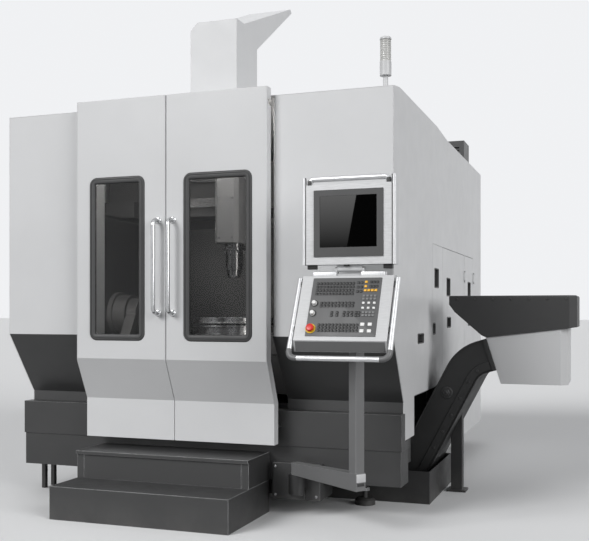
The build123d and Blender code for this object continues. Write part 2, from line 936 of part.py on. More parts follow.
def door_outline(inset):
    """A door leaf seen from the side, its face moved back and its ends shortened by an inset."""
    front = door_front + inset
    return (
        (front, door_top - inset), (front, door_bend), (front + door_slope_run, door_low_bend),
        (front + door_slope_run, door_bottom + inset),
    )


def door_leaf(outer, inner, window_x0, window_x1):
    """A folded tray with its bends, the window hole, the rail notch and two hangers by its inner edge."""
    x0 = min(outer, inner)
    x1 = max(outer, inner)
    outward = -1 if outer < inner else 1
    back = [(y + door_depth, z) for y, z in reversed(door_outline(0))]
    leaf = along_x(list(door_outline(0)) + back, x0, x1)
    corners = [e for e in leaf.edges().filter_by(Axis.Z) if abs(e.center().Y - door_front) < sheet]
    leaf = fillet(corners, door_edge_radius)
    hollow_back = [(y + door_depth, z) for y, z in reversed(door_outline(sheet))]
    leaf -= along_x(list(door_outline(sheet)) + hollow_back, x0 + sheet, x1 - sheet)
    rail_top = roof_front - head_rail_drop
    notch_front = -door_gap - head_rail_reach - head_rail_clear
    leaf -= block(
        x0 - overrun, x1 + overrun, notch_front, 0,
        rail_top - head_rail_height - head_rail_clear, rail_top + head_rail_clear,
    )
    hang = rail_top + running_gap
    for place in range(2):
        near = inner + outward * (hanger_inset + place * (hanger_inset + hanger_length))
        x = min(near, near + outward * hanger_length)
        leaf += block(x, x + hanger_length, door_front + sheet, -door_gap, hang, hang + hanger_height)
    sill = door_bend + window_sill
    hole = rounded_slab(
        window_x0, window_x1, door_front - overrun, door_front + overrun,
        sill, sill + window_height, window_radius,
    )
    return leaf - hole


def window_gasket(x0, x1):
    sill = door_bend + window_sill
    top = sill + window_height
    y0 = door_front - gasket_proud
    ring = rounded_slab(x0, x1, y0, y0 + gasket_depth, sill, top, window_radius)
    hole = rounded_slab(
        x0 + gasket_width, x1 - gasket_width, y0 - overrun, y0 + overrun,
        sill + gasket_width, top - gasket_width, window_radius - gasket_width / 2,
    )
    return ring - hole


def window_pane(x0, x1):
    sill = door_bend + window_sill
    return rounded_slab(
        x0 + gasket_width, x1 - gasket_width, door_front, door_front + pane,
        sill + gasket_width, sill + window_height - gasket_width, window_radius - gasket_width / 2,
    )


def door_handle(x):
    """A pull of bent tube that stands off the leaf."""
    low = door_bend + handle_sill
    high = low + handle_length
    reach = door_front - handle_reach
    points = ((x, door_front, high), (x, reach, high), (x, reach, low), (x, door_front, low))
    return bent_tube(points, handle_bend, handle_radius)


def step_box(x0, x1, y0, y1, z0, z1):
    """A folded step box, open below and behind."""
    hollow = block(x0 + sheet, x1 - sheet, y0 + sheet, y1 + overrun, z0 - overrun, z1 - sheet)
    return block(x0, x1, y0, y1, z0, z1) - hollow


def lower_step():
    return step_box(step_left, step_right, -step_reach, skirt_foot_y, 0, lower_step_top)


def upper_step():
    slab_low = step_top - tread_thickness
    box = step_box(
        step_left, step_right, tread_overhang - upper_reach, skirt_foot_y, lower_step_top, slab_low,
    )
    for x in (step_left + riser_margin, step_right - riser_margin):
        box -= block(
            x, x + seam_gap, -upper_reach, tread_overhang - upper_reach + sheet / 2, lower_step_top, slab_low,
        )
    return box + block(step_left, step_right, -upper_reach, skirt_foot_y, slab_low, step_top)


def hood_block(inset):
    """The hood as a solid block, drawn smaller by an inset."""
    back = hood_setback + hood_depth
    top = roof_height + hood_height
    knee = hood_setback + hood_flat
    tip = (hood_setback + flare_reach, top + flare_rise)
    outline = (
        (hood_setback, roof_height), (hood_setback, top), (knee, top), tip,
        (tip[0] + flare_tip_back, tip[1] - flare_tip_drop), (back, top - hood_back_drop), (back, roof_height),
    )
    half = hood_width / 2 - inset
    face = offset(Polygon(*outline, align=None), -inset) if inset else Polygon(*outline, align=None)
    hood = Pos(-half, 0, 0) * extrude(Plane.YZ * face, half * 2, dir=(1, 0, 0))
    edges = [e for e in hood.edges().filter_by(Axis.Y) if e.center().X < 0 and e.center().Z > top - overrun]
    return chamfer(edges, hood_chamfer)


def roof_hood():
    """A tall sheet box with a flare that rises to the back, bevelled along its left top edge, open below."""
    inside = hood_block(sheet)
    mouth = block(
        sheet - hood_width / 2, hood_width / 2 - sheet,
        hood_setback + sheet, hood_setback + hood_depth - sheet,
        roof_height - overrun, roof_height + overrun,
    )
    return hood_block(0) - inside - mouth


def rear_roof_unit():
    x1 = half_width - unit_inset
    y1 = enclosure_depth - unit_rear_gap
    y0 = y1 - unit_depth
    unit = block(x1 - unit_width, x1, y0, y1, roof_rear, roof_rear + unit_height)
    unit -= block(
        x1 - unit_width + sheet, x1 - sheet, y0 + sheet, y1 - sheet,
        roof_rear - overrun, roof_rear + unit_height - sheet,
    )
    pitch = (unit_height - louvre_margin * 2) / louvre_count
    for row in range(louvre_count):
        z = roof_rear + louvre_margin + row * pitch
        unit -= block(
            x1 - unit_width + louvre_margin, x1 - louvre_margin,
            y0 - overrun, y0 + louvre_depth, z, z + pitch / 2,
        )
    return unit


def beacon():
    """A stem and socket, a round lens on it, and a cap."""
    x = half_width - beacon_inset
    y = beacon_setback
    stem_top = roof_height + beacon_stem
    socket_top = stem_top + beacon_socket
    lens_top = socket_top + beacon_lens
    stem = rod(x, y, roof_height, roof_height + beacon_foot, beacon_foot_radius)
    stem += rod(x, y, roof_height + beacon_foot, stem_top, beacon_stem_radius)
    stem += rod(x, y, stem_top, socket_top, beacon_radius)
    lens = rod(x, y, socket_top, lens_top, beacon_radius - beacon_lens_inset)
    cap = rod(x, y, lens_top, lens_top + beacon_cap, beacon_radius)
    cap = fillet(cap.edges().group_by(Axis.Z)[-1], beacon_cap_radius)
    return stem, lens, cap


def coolant_tank():
    """An open trough on the floor, under the machine."""
    x0 = -tank_left_reach
    x1 = half_width + tank_proud
    y0 = tank_setback
    y1 = tank_setback + tank_depth
    tank = block(x0, x1, y0, y1, 0, tank_height)
    return tank - block(x0 + sheet, x1 - sheet, y0 + sheet, y1 - sheet, sheet, tank_height + overrun)


def casing_path(late=0, extra=0):
    """The conveyor's centre line from the tank up to the head, begun late and run on by an extra length."""
    end = (casing_end[0] + extra * head_run[0], casing_end[1] + extra * head_run[1])
    points = ((casing_start + late, casing_low), (casing_foot_x, casing_low), casing_knee, end)
    return FilletPolyline(*points, radius=casing_bend)


def casing_band(thickness, y0, y1, extra=0):
    return face_along_y(trace(casing_path(0, extra), line_width=thickness), y0, y1)


def conveyor_casing():
    """A square duct that bends up out of the tank, with a flange where it meets the chute."""
    duct = casing_band(casing_thickness, conveyor_setback, conveyor_back)
    inside = casing_band(casing_thickness - sheet * 2, conveyor_setback + sheet, conveyor_back - sheet)
    feed = block(
        casing_start + sheet, casing_foot_x - casing_bend, conveyor_setback + sheet, conveyor_back - sheet,
        casing_low, casing_low + casing_thickness,
    )
    flange_path = Line(
        (
            casing_end[0] - casing_flange_length * head_run[0],
            casing_end[1] - casing_flange_length * head_run[1],
        ),
        casing_end,
    )
    flange = face_along_y(
        trace(flange_path, line_width=casing_thickness), conveyor_setback - casing_flange,
        conveyor_back + casing_flange,
    )
    return duct + flange - inside - feed


def conveyor_belt():
    """The hinged plate belt, a closed loop in the casing that turns back over the chute."""
    middle = casing_path(belt_end_gap, belt_head_reach)
    outer = make_face(middle.offset_2d(belt_loop / 2, kind=Kind.ARC, side=Side.BOTH, closed=True))
    reach = belt_loop / 2 - belt_plate
    inner = make_face(middle.offset_2d(reach, kind=Kind.ARC, side=Side.BOTH, closed=True))
    return face_along_y(outer - inner, conveyor_setback + sheet, conveyor_back - sheet)


def chute_corners():
    """The chute's near face: its left wall stands square to the casing's end."""
    up = casing_thickness / 2 + chute_lip
    top_left = (casing_end[0] - up * head_run[1], casing_end[1] + up * head_run[0])
    low_left = (casing_end[0] + chute_drop * head_run[1], casing_end[1] - chute_drop * head_run[0])
    low_right = (low_left[0] + chute_mouth, low_left[1])
    rise = (low_right[0] - top_left[0]) * tan(radians(head_rise_deg))
    return top_left, low_left, low_right, (low_right[0], top_left[1] + rise)


def discharge_chute():
    """A funnel of folded sheet, open above and below, with the casing let into its left wall."""
    face = Polygon(*chute_corners(), align=None)
    chute = face_along_y(face, conveyor_setback, conveyor_back)
    chute = chamfer(chute.edges().filter_by(Axis.Z).group_by(Axis.X)[-1], corner_bevel)
    hollow = face_along_y(offset(face, -sheet), conveyor_setback + sheet, conveyor_back - sheet)
    hollow = chamfer(hollow.edges().filter_by(Axis.Z).group_by(Axis.X)[-1], corner_bevel)
    top_left, low_left, low_right, top_right = chute_corners()
    mouth = block(
        low_left[0] + sheet, low_right[0] - corner_bevel, conveyor_setback + sheet, conveyor_back - sheet,
        low_left[1] - overrun, low_left[1] + overrun,
    )
    slope = tan(radians(head_rise_deg))
    x0 = top_left[0] + casing_thickness / 2
    x1 = top_right[0] - corner_bevel
    lid = (
        (x0, top_left[1] + (x0 - top_left[0]) * slope - overrun), (x1, top_right[1] - overrun),
        (x1, top_right[1] + overrun), (x0, top_right[1] + overrun),
    )
    throat = face_along_y(Polygon(*lid, align=None), conveyor_setback + sheet, conveyor_back - sheet)
    feed = casing_band(casing_thickness - sheet * 2, conveyor_setback + sheet, conveyor_back - sheet, overrun)
    return chute - hollow - mouth - throat - feed


def conveyor_head():
    """The black hood over the conveyor's upper end, open towards the chute."""
    top_left, low_left, low_right, top_right = chute_corners()
    slope = tan(radians(head_rise_deg))
    toe = (top_left[0] - head_toe_run, top_left[1] + head_toe_rise)
    x0 = top_left[0] - head_back
    top = top_left[1] + head_height
    x1 = top_left[0] + head_length
    low_end = (x1, top_left[1] + head_length * slope)
    outline = (
        (x0, top), (x0, top - head_back_face),
        (x0 + head_knee_run, top - head_back_face - head_knee_drop),
        toe, top_left, low_end, (x1, top),
    )
    face = Polygon(*outline, align=None)
    head = face_along_y(face, conveyor_setback - head_proud, conveyor_back + head_proud)
    head = chamfer(head.edges().filter_by(Axis.Z).group_by(Axis.X)[-1], corner_bevel)
    head = fillet(head.faces().sort_by(Axis.Z)[-1].edges(), head_edge_radius)
    hollow = face_along_y(offset(face, -sheet * 2), conveyor_setback + sheet, conveyor_back - sheet)
    hollow = chamfer(hollow.edges().filter_by(Axis.Z).group_by(Axis.X)[-1], corner_bevel)
    hx0 = top_left[0] + casing_thickness / 2
    hx1 = top_right[0] - corner_bevel
    throat = block(
        hx0, hx1, conveyor_setback + sheet, conveyor_back - sheet,
        top_left[1] - overrun, top_left[1] + head_height / 2,
    )
    return head - hollow - throat


def conveyor_motor():
    """The gear motor on the head's far side."""
    top_left = chute_corners()[0]
    x = top_left[0] + head_length * motor_place_share
    z = top_left[1] + head_height * motor_place_share
    y0 = conveyor_back + head_proud
    flange = Cylinder(motor_flange, motor_flange_length, align=(Align.CENTER, Align.CENTER, Align.MIN))
    body = Cylinder(motor_radius, motor_length, align=(Align.CENTER, Align.CENTER, Align.MIN))
    return Pos(x, y0, z) * Rot(-90, 0, 0) * (flange + body)


def conveyor_leg():
    """A square post under the rising duct, cut to its underside, on a foot plate."""
    x = casing_foot_x + leg_reach
    y = (conveyor_setback + conveyor_back) / 2
    half = leg_side / 2
    foot = leg_foot / 2
    top = casing_low + leg_reach * tan(radians(casing_rise_deg))
    leg = block(x - half, x + half, y - half, y + half, 0, top)
    leg -= casing_band(casing_thickness, conveyor_setback, conveyor_back)
    leg = leg.solids().sort_by(Axis.Z)[0]
    return leg + block(x - foot, x + foot, y - foot, y + foot, 0, leg_foot_thickness)


# The swing arm's pivot and the place of the post that it carries
bracket_left = step_right + bracket_gap
bracket_front = skirt_setback - bracket_proud
bracket_top = skirt_bottom + bracket_lap
pivot_x = bracket_left + bracket_width * pivot_share
pivot_y = bracket_front - pivot_reach
hub_top = bracket_top - hub_top_drop
arm_bottom = hub_top + running_gap
post_x = pivot_x + arm_length * cos(radians(arm_deg))
panel_x = post_x - panel_shift
panel_y = pivot_y - arm_length * sin(radians(arm_deg))
post_top = arm_bottom + post_height
keyboard_top = post_top + panel_rise
panel_front = panel_y - panel_reach
hinge_z = keyboard_top + bracket_plate + hinge_rise
display_bottom = keyboard_top + display_gap
display_top = display_bottom + display_height


def arm_bracket():
    """The console under the skirt that holds the arm's pivot."""
    x1 = bracket_left + bracket_width
    low = bracket_top - bracket_height
    face = block(bracket_left, x1, bracket_front, skirt_foot_y, skirt_bottom, bracket_top)
    face += block(bracket_left, x1, bracket_front, bed_front, low, skirt_bottom)
    face = fillet(face.edges().filter_by(Axis.Z).group_by(Axis.Y)[0], bracket_edge_radius)
    seam = bracket_left + bracket_width * seam_share
    return face - block(
        seam, seam + bracket_seam_width, bracket_front - overrun, bracket_front + sheet, low - overrun,
        bracket_top + overrun,
    )


def arm_pivot():
    """The black bearing block with the upright pin that the arm turns on."""
    hub = rod(pivot_x, pivot_y, hub_top - hub_height, hub_top, hub_radius)
    hub = chamfer(hub.edges().group_by(Axis.Z)[0], hub_radius / 4)
    half = hub_foot_width / 2
    hub_low = hub_top - hub_height * 3 / 4
    hub += block(pivot_x - half, pivot_x + half, pivot_y, bracket_front, hub_low, hub_top)
    return hub + rod(pivot_x, pivot_y, hub_top, hub_top + pivot_pin_height, pivot_pin_radius)


def swing_arm():
    """A tapered arm and a square post welded to its end, set at the arm's rest angle."""
    half = arm_width / 2
    tip = arm_length + arm_tip_reach
    outline = Polygon((0, 0), (tip, 0), (tip, arm_tip_height), (0, arm_root_height), align=None)
    arm = face_along_y(outline, -half, half) + rod(0, 0, 0, arm_root_height, arm_eye_radius)
    side = post_side / 2
    post = block(arm_length - side, arm_length + side, -side, side, 0, post_height)
    arm += fillet(post.edges().filter_by(Axis.Z), post_edge_radius)
    arm -= rod(0, 0, -overrun, pivot_pin_height + running_gap, pivot_pin_radius + running_gap)
    arm -= rod(arm_length, 0, post_height - swivel_pin_depth - running_gap, post_height + overrun,
               pivot_pin_radius + running_gap)
    return Pos(pivot_x, pivot_y, arm_bottom) * Rot(0, 0, -arm_deg) * arm


def panel_bracket():
    """The swivel on the post, the upright behind the keyboard and the lugs of the display's hinge."""
    low = post_top + running_gap
    swivel = rod(post_x, panel_y, low, low + swivel_height, swivel_radius)
    swivel += rod(post_x, panel_y, post_top - swivel_pin_depth, low, pivot_pin_radius)
    y0 = panel_y + upright_offset
    y1 = y0 + upright_depth
    half = upright_width / 2
    plate = bracket_plate_width / 2
    top = keyboard_top + bracket_plate
    bracket = swivel + block(panel_x - half, panel_x + half, y0, y1, low, top)
    bracket += block(panel_x - plate, panel_x + plate, panel_y - upright_offset, y1, keyboard_top, top)
    for side in (-1, 1):
        inner = panel_x + side * hinge_lug_place
        outer = inner + side * hinge_lug
        x0 = min(inner, outer)
        bracket += cross_rod(x0, x0 + hinge_lug, panel_y, hinge_z, hinge_eye_radius)
        y0 = panel_y - hinge_eye_radius
        bracket += block(x0, x0 + hinge_lug, y0, panel_y + hinge_eye_radius, top, hinge_z)
    reach = hinge_lug_place + hinge_lug
    return bracket + cross_rod(panel_x - reach, panel_x + reach, panel_y, hinge_z, hinge_pin_radius)


# The keyboard's sloping face: its own plane, x to the right, y up the slope, z out of the face
slope_length = hypot(keyboard_run, keyboard_drop)
keyboard_plane = Plane(
    origin=(panel_x, panel_front, keyboard_top), x_dir=(1, 0, 0),
    z_dir=(0, -keyboard_drop / slope_length, keyboard_run / slope_length),
)
on_keyboard = keyboard_plane.location


def plate_place(shares):
    """The point on the key plate at the given shares across and down."""
    x = key_plate_width * (shares[0] - 1 / 2)
    y = -key_plate_margin - key_plate_height * shares[1]
    return Pos(x, y, 0)


def control_places():
    """Each control that passes through the plate, with the radius of its stem."""
    return (
        (stop_place_shares, stop_stem_radius),
        (feed_knob_shares, knob_stem_radius),
        (speed_knob_shares, knob_stem_radius),
    )


def keyboard_housing():
    """A folded wedge under the keys."""
    front = panel_front
    nose = front - keyboard_run
    low = keyboard_top - keyboard_drop
    bottom = low - keyboard_face
    back = front + keyboard_top_depth
    outline = (
        (front, keyboard_top), (nose, low), (nose + keyboard_face_inset, bottom),
        (nose + keyboard_face_inset + keyboard_foot, bottom), (back, keyboard_top - keyboard_back_drop),
        (back, keyboard_top),
    )
    half = keyboard_width / 2
    housing = along_x(outline, panel_x - half, panel_x + half)
    housing = fillet(housing.edges().filter_by(Axis.X).group_by(Axis.Y)[0], keyboard_edge_radius)
    core = Plane.YZ * offset(Polygon(*outline, align=None), -sheet)
    housing -= Pos(panel_x - half + sheet, 0, 0) * extrude(core, keyboard_width - sheet * 2, dir=(1, 0, 0))
    for shares, radius in control_places():
        hole = Cylinder(radius + running_gap, stop_stem * 2, align=(Align.CENTER, Align.CENTER, Align.CENTER))
        housing -= on_keyboard * plate_place(shares) * hole
    return housing


def key_plate():
    """The plate with its keys and the collar round the stop button."""
    corner = (Align.CENTER, Align.MAX, Align.MIN)
    plate = Box(key_plate_width, key_plate_height, key_plate_thickness, align=corner)
    plate = Pos(0, -key_plate_margin, 0) * plate
    key_w = key_plate_width * key_pitch_share * key_fill_share
    key_h = key_plate_height * key_row_share * key_fill_share
    key = Box(key_w, key_h, key_proud, align=(Align.CENTER, Align.CENTER, Align.MIN))
    keys = []
    for s0, s1, columns, t0, t1, rows in key_block_shares:
        for row in range(rows):
            for column in range(columns):
                across = s0 + (s1 - s0) * column / max(columns - 1, 1)
                down = t0 + (t1 - t0) * row / max(rows - 1, 1)
                keys.append(plate_place((across, down)) * Pos(0, 0, key_plate_thickness) * key)
    collar_top = key_plate_thickness + stop_collar
    upright = (Align.CENTER, Align.CENTER, Align.MIN)
    collar = plate_place(stop_place_shares) * Cylinder(stop_collar_radius, collar_top, align=upright)
    plate = plate + collar + keys
    for shares, radius in control_places():
        plate -= plate_place(shares) * Cylinder(radius + running_gap, overrun)
    return on_keyboard * plate


def keyboard_handle():
    """A tube down both sides and across the bottom, on four short lugs."""
    x = keyboard_width / 2 + tube_gap
    top = -tube_top_margin
    points = (
        (-x, top, -tube_sink), (-x, -tube_reach, -tube_sink),
        (x, -tube_reach, -tube_sink), (x, top, -tube_sink),
    )
    tube = bent_tube(points, tube_bend, tube_radius)
    for side in (-1, 1):
        x0 = min(side * x, side * keyboard_width / 2)
        for y in (-tube_lug_margin, -tube_lug_margin - tube_lug_pitch):
            tube += cross_rod(x0, x0 + tube_gap, y, -tube_sink, tube_lug_radius)
    return on_keyboard * tube


def stop_button():
    upright = (Align.CENTER, Align.CENTER, Align.MIN)
    rest = key_plate_thickness + stop_collar + stop_travel + running_gap
    crown = Cylinder(stop_radius, stop_crown, align=upright)
    crown = fillet(crown.edges().group_by(Axis.Z)[-1], stop_crown / 2)
    stem = Cylinder(stop_stem_radius, rest, align=upright)
    return on_keyboard * plate_place(stop_place_shares) * (Pos(0, 0, rest) * crown + stem)


def turn_knob(shares):
    upright = (Align.CENTER, Align.CENTER, Align.MIN)
    low = key_plate_thickness + running_gap
    knob = Cylinder(knob_radius, knob_height, align=upright)
    knob = fillet(knob.edges().group_by(Axis.Z)[-1], knob_height / 4)
    groove = Box(knob_pointer, knob_radius, knob_pointer, align=(Align.CENTER, Align.MIN, Align.MAX))
    knob -= Pos(0, 0, knob_height) * groove
    stem = Cylinder(knob_stem_radius, stop_stem, align=(Align.CENTER, Align.CENTER, Align.MAX))
    return on_keyboard * plate_place(shares) * Pos(0, 0, low) * (knob + stem)


def display_housing():
    """The screen's case with the knuckle of its tilt hinge below."""
    half = display_width / 2
    back = panel_front + display_depth
    case = block(panel_x - half, panel_x + half, panel_front, back, display_bottom, display_top)
    case = fillet(case.edges().filter_by(Axis.Z), display_edge_radius)
    case -= block(
        panel_x - half + display_edge_radius, panel_x + half - display_edge_radius,
        panel_front + sheet, back - sheet, display_bottom + sheet, display_top - sheet,
    )
    pitch = display_height / (vent_count + 1)
    for row in range(vent_count):
        z = display_bottom + (row + 1) * pitch
        case -= block(
            panel_x - vent_length / 2, panel_x + vent_length / 2, back - sheet * 2, back + overrun,
            z - vent_width / 2, z + vent_width / 2,
        )
    reach = hinge_lug_place - running_gap
    knuckle = cross_rod(panel_x - reach, panel_x + reach, panel_y, hinge_z, hinge_eye_radius)
    knuckle += block(
        panel_x - reach, panel_x + reach, panel_y - hinge_eye_radius, panel_y + hinge_eye_radius,
        hinge_z, display_bottom,
    )
    pin = cross_rod(panel_x - half, panel_x + half, panel_y, hinge_z, hinge_pin_radius + running_gap)
    return case + knuckle - pin


def display_bezel():
    z0 = display_bottom + bezel_sill
    bezel = block(
        panel_x - bezel_width / 2, panel_x + bezel_width / 2, panel_front - bezel_proud, panel_front,
        z0, z0 + bezel_height,
    )
    s0 = z0 + screen_sill
    return bezel - block(
        panel_x - screen_width / 2, panel_x + screen_width / 2, panel_front - overrun, panel_front + overrun,
        s0, s0 + screen_height,
    )


def display_screen():
    s0 = display_bottom + bezel_sill + screen_sill
    return block(
        panel_x - screen_width / 2, panel_x + screen_width / 2, panel_front - screen_thickness, panel_front,
        s0, s0 + screen_height,
    )


def display_handle():
    """A bar along the display's top edge, bent down into the case at both ends."""
    x = display_handle_width / 2
    y = panel_front + display_handle_setback
    top = display_top + display_handle_rise
    points = (
        (panel_x - x, y, display_top), (panel_x - x, y, top),
        (panel_x + x, y, top), (panel_x + x, y, display_top),
    )
    return bent_tube(points, display_handle_bend, display_handle_radius)


def every_node():
    """Each named piece, or group of like pieces, at its place."""
    inside = half_width - sheet
    half_meet = meeting_gap / 2
    left_window = left_door_edge + left_window_margin
    right_window = -door_split + right_window_margin
    left_spans = (left_window, left_window + left_window_width)
    right_spans = (right_window, right_window + right_window_width)
    stem, lens, cap = beacon()
    return {
        "machine_bed": machine_bed(),
        "levelling_feet": levelling_feet(),
        "base_skirt": base_skirt(),
        "left_front_panel": front_panel(-inside, left_panel_edge, 1),
        "right_front_panel": front_panel(inside, right_panel_edge, -1),
        "front_aprons": [apron(-inside, left_panel_edge), apron(inside, right_panel_edge)],
        "left_side_panel": left_side_panel(),
        "right_side_panel": right_side_panel(),
        "rear_panel": rear_panel(),
        "roof_panel": roof_panel(),
        "magazine_door": (
            magazine_hinge * service_door(magazine_door_width, service_height, magazine_grip_margin)
        ),
        "rear_service_door": rear_hinge * service_door(rear_door_width, service_height, rear_grip_margin),
        "cabinet_door": cabinet_hinge * service_door(cabinet_door_width, service_height, cabinet_grip_margin),
        "door_rails": door_rails(),
        "work_area_liner": work_area_liner(),
        "trunnion_bearings": trunnion_bearings(),
        "table_cradle": table_cradle(),
        "rotary_table": rotary_table(),
        "spindle_shaft": spindle_shaft(),
        "spindle_sleeve": spindle_sleeve(),
        "spindle_ram": spindle_ram(),
        "head_saddle": head_saddle(),
        "cross_beam": cross_beam(),
        "beam_rails": beam_rails(),
        "bed_rails": bed_rails(),
        "left_door_leaf": door_leaf(left_door_edge, -door_split - half_meet, *left_spans),
        "left_window_gasket": window_gasket(*left_spans),
        "left_window_pane": window_pane(*left_spans),
        "left_door_handle": door_handle(-door_split - handle_offset),
        "right_door_leaf": door_leaf(right_door_edge, -door_split + half_meet, *right_spans),
        "right_window_gasket": window_gasket(*right_spans),
        "right_window_pane": window_pane(*right_spans),
        "right_door_handle": door_handle(-door_split + handle_offset),
        "lower_step": lower_step(),
        "upper_step": upper_step(),
        "roof_hood": roof_hood(),
        "rear_roof_unit": rear_roof_unit(),
        "beacon_housing": [stem, cap],
        "beacon_lens": lens,
        "coolant_tank": coolant_tank(),
        "conveyor_casing": conveyor_casing(),
        "conveyor_belt": conveyor_belt(),
        "discharge_chute": discharge_chute(),
        "conveyor_head": conveyor_head(),
        "conveyor_motor": conveyor_motor(),
        "conveyor_leg": conveyor_leg(),
        "arm_bracket": arm_bracket(),
        "arm_pivot": arm_pivot(),
        "swing_arm": swing_arm(),
        "panel_bracket": panel_bracket(),
        "keyboard_housing": keyboard_housing(),
        "key_plate": key_plate(),
        "keyboard_handle": keyboard_handle(),
        "stop_button": stop_button(),
        "feed_knob": turn_knob(feed_knob_shares),
        "speed_knob": turn_knob(speed_knob_shares),
        "display_housing": display_housing(),
        "display_bezel": display_bezel(),
        "display_screen": display_screen(),
        "display_handle": display_handle(),
    }


def solids_of(piece):
    """The solids of one piece or of a list of like pieces."""
    pieces = piece if isinstance(piece, list) else [piece]
    return [solid for one in pieces for solid in one.solids()]


# The part's own origin is the middle of its footprint, on the floor
nodes = {name: solids_of(piece) for name, piece in every_node().items()}
box = Compound([solid for solids in nodes.values() for solid in solids]).bounding_box()
to_origin = Pos(-box.center().X, -box.center().Y, -box.min.Z)
print("moved by", to_origin.position)

os.makedirs("parts", exist_ok=True)
for name, solids in nodes.items():
    moved = [to_origin * solid for solid in solids]
    export_step(moved[0] if len(moved) == 1 else Compound(moved), f"parts/{name}.step")
print(len(nodes), "nodes written")
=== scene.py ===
# %% [markdown]
# # Dressing an enclosed machining centre
# The CAD model gives every solid of the machine in its place, in metres. This lesson adds what makes it
# look real: the photograph's camera, studio light, finishes that are worked out from patterns, and the
# small pieces that a maker would fasten on, such as gaskets, keys, pulls, screws and ribs.

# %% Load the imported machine
import json
import bmesh
import bpy
import numpy as np
from math import atan2, cos, hypot, pi, radians, sin, tan
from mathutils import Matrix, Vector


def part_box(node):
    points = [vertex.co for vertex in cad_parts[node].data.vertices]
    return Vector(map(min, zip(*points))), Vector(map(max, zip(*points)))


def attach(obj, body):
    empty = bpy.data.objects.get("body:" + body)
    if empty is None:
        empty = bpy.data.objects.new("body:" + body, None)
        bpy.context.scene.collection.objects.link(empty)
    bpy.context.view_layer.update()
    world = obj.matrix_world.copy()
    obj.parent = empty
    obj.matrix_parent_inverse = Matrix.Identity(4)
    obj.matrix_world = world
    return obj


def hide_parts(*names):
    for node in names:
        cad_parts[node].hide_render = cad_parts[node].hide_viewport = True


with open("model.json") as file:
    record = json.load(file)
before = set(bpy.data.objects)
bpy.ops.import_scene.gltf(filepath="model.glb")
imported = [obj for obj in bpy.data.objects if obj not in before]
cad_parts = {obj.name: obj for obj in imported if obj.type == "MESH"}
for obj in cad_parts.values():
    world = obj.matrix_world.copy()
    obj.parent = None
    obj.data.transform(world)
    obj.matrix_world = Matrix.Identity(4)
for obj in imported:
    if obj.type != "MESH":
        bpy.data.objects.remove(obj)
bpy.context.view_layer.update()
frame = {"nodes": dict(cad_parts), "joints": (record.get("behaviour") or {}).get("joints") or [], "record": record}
node = frame["nodes"]
roof_low, roof_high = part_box("roof_panel")
HOME = np.array(((roof_low.x + roof_high.x) / 2, roof_low.y, 0.0))
openings = {o["name"]: np.array(o["box_m"]) for o in frame["record"]["physics"]["openings"]}
pivots = {j["name"]: np.array(j["pos_m"]) for j in frame["joints"] if "pos_m" in j}

# %% [markdown]
# ## The camera
# The photograph was taken with a level camera whose frame was raised, so upright edges stay upright. A
# level camera with a vertical shift does the same. The focal length in pixels and the place of the
# camera come from fitting the machine's straight edges. HOME lies on the floor under the middle of the
# white front.

# %% Camera
PHOTO_WIDTH, PHOTO_HEIGHT = 589, 541
FOCAL_PIXELS, HORIZON_PIXELS = 898.2, 311.3
SENSOR, VIEW_END = 36.0, 300.0
CAMERA_PLACE, CAMERA_YAW_DEG = np.array((2.2795, -4.5999, 1.1392)), 19.5
stage = bpy.context.scene


def link(made):
    """Puts an object into the scene."""
    stage.collection.objects.link(made)
    return made


camera_data = bpy.data.cameras.new("photo_camera")
camera_data.sensor_width = SENSOR
camera_data.lens = SENSOR * FOCAL_PIXELS / PHOTO_WIDTH
camera_data.shift_y = (HORIZON_PIXELS - PHOTO_HEIGHT / 2) / PHOTO_WIDTH
camera_data.clip_end = VIEW_END
camera = link(bpy.data.objects.new("photo_camera", camera_data))
camera.location = HOME + CAMERA_PLACE
camera.rotation_euler = (radians(90), 0, radians(CAMERA_YAW_DEG))
stage.camera = camera
stage.view_settings.view_transform = "Standard"
print("lens", round(camera_data.lens, 2), "shift", round(camera_data.shift_y, 4))

# %% [markdown]
# ## Studio light
# A broad key light from the left front gives the white doors their even tone, and a weaker one from the
# right leaves that side a little darker. Sun lamps with wide discs light the floor evenly out to the
# horizon, which a square lamp can't. At this level a surface renders about as its colour is written.

# %% Lamps
SUNS = {  # place and aim from HOME, power, disc in degrees
    "key_lamp": ((-3.0, -4.7, 4.6), (0.0, 0.5, 1.1), 2.1, 28),
    "side_lamp": ((6.0, -2.2, 3.0), (1.2, 0.2, 1.1), 1.7, 40),
}


def turn_to(lamp, place, aim):
    """Sets a lamp down and turns it to its aim: it looks down at first, is tipped by the angle between
    straight down and the line of sight, and is then turned about the upright axis."""
    x, y, z = np.subtract(aim, place)
    lamp.location = HOME + place
    lamp.rotation_euler = (atan2(hypot(x, y), -z), 0, atan2(-x, y))


for name, (place, aim, power, disc) in SUNS.items():
    sun = bpy.data.lights.new(name, "SUN")
    sun.energy, sun.angle = power, radians(disc)
    turn_to(link(bpy.data.objects.new(name, sun)), place, aim)
print("lamps", len(bpy.data.lights))

# %% [markdown]
# ## Short ways to build looks
# Every look is a tree of nodes. These helpers add a node in one line: each of its inputs is given either
# a plain value or the socket that it is linked from.

# %% Helpers for nodes
def feed(tree, made, inputs):
    """Fills a node's inputs, each with a plain value or with a link from a socket."""
    for key, value in inputs.items():
        if isinstance(value, bpy.types.NodeSocket):
            tree.links.new(value, made.inputs[key])
        else:
            made.inputs[key].default_value = value
    return made


def add(tree, kind, inputs=None, **settings):
    """A new node with its settings and its inputs."""
    made = tree.nodes.new(kind)
    for key, value in settings.items():
        setattr(made, key, value)
    return feed(tree, made, inputs or {})


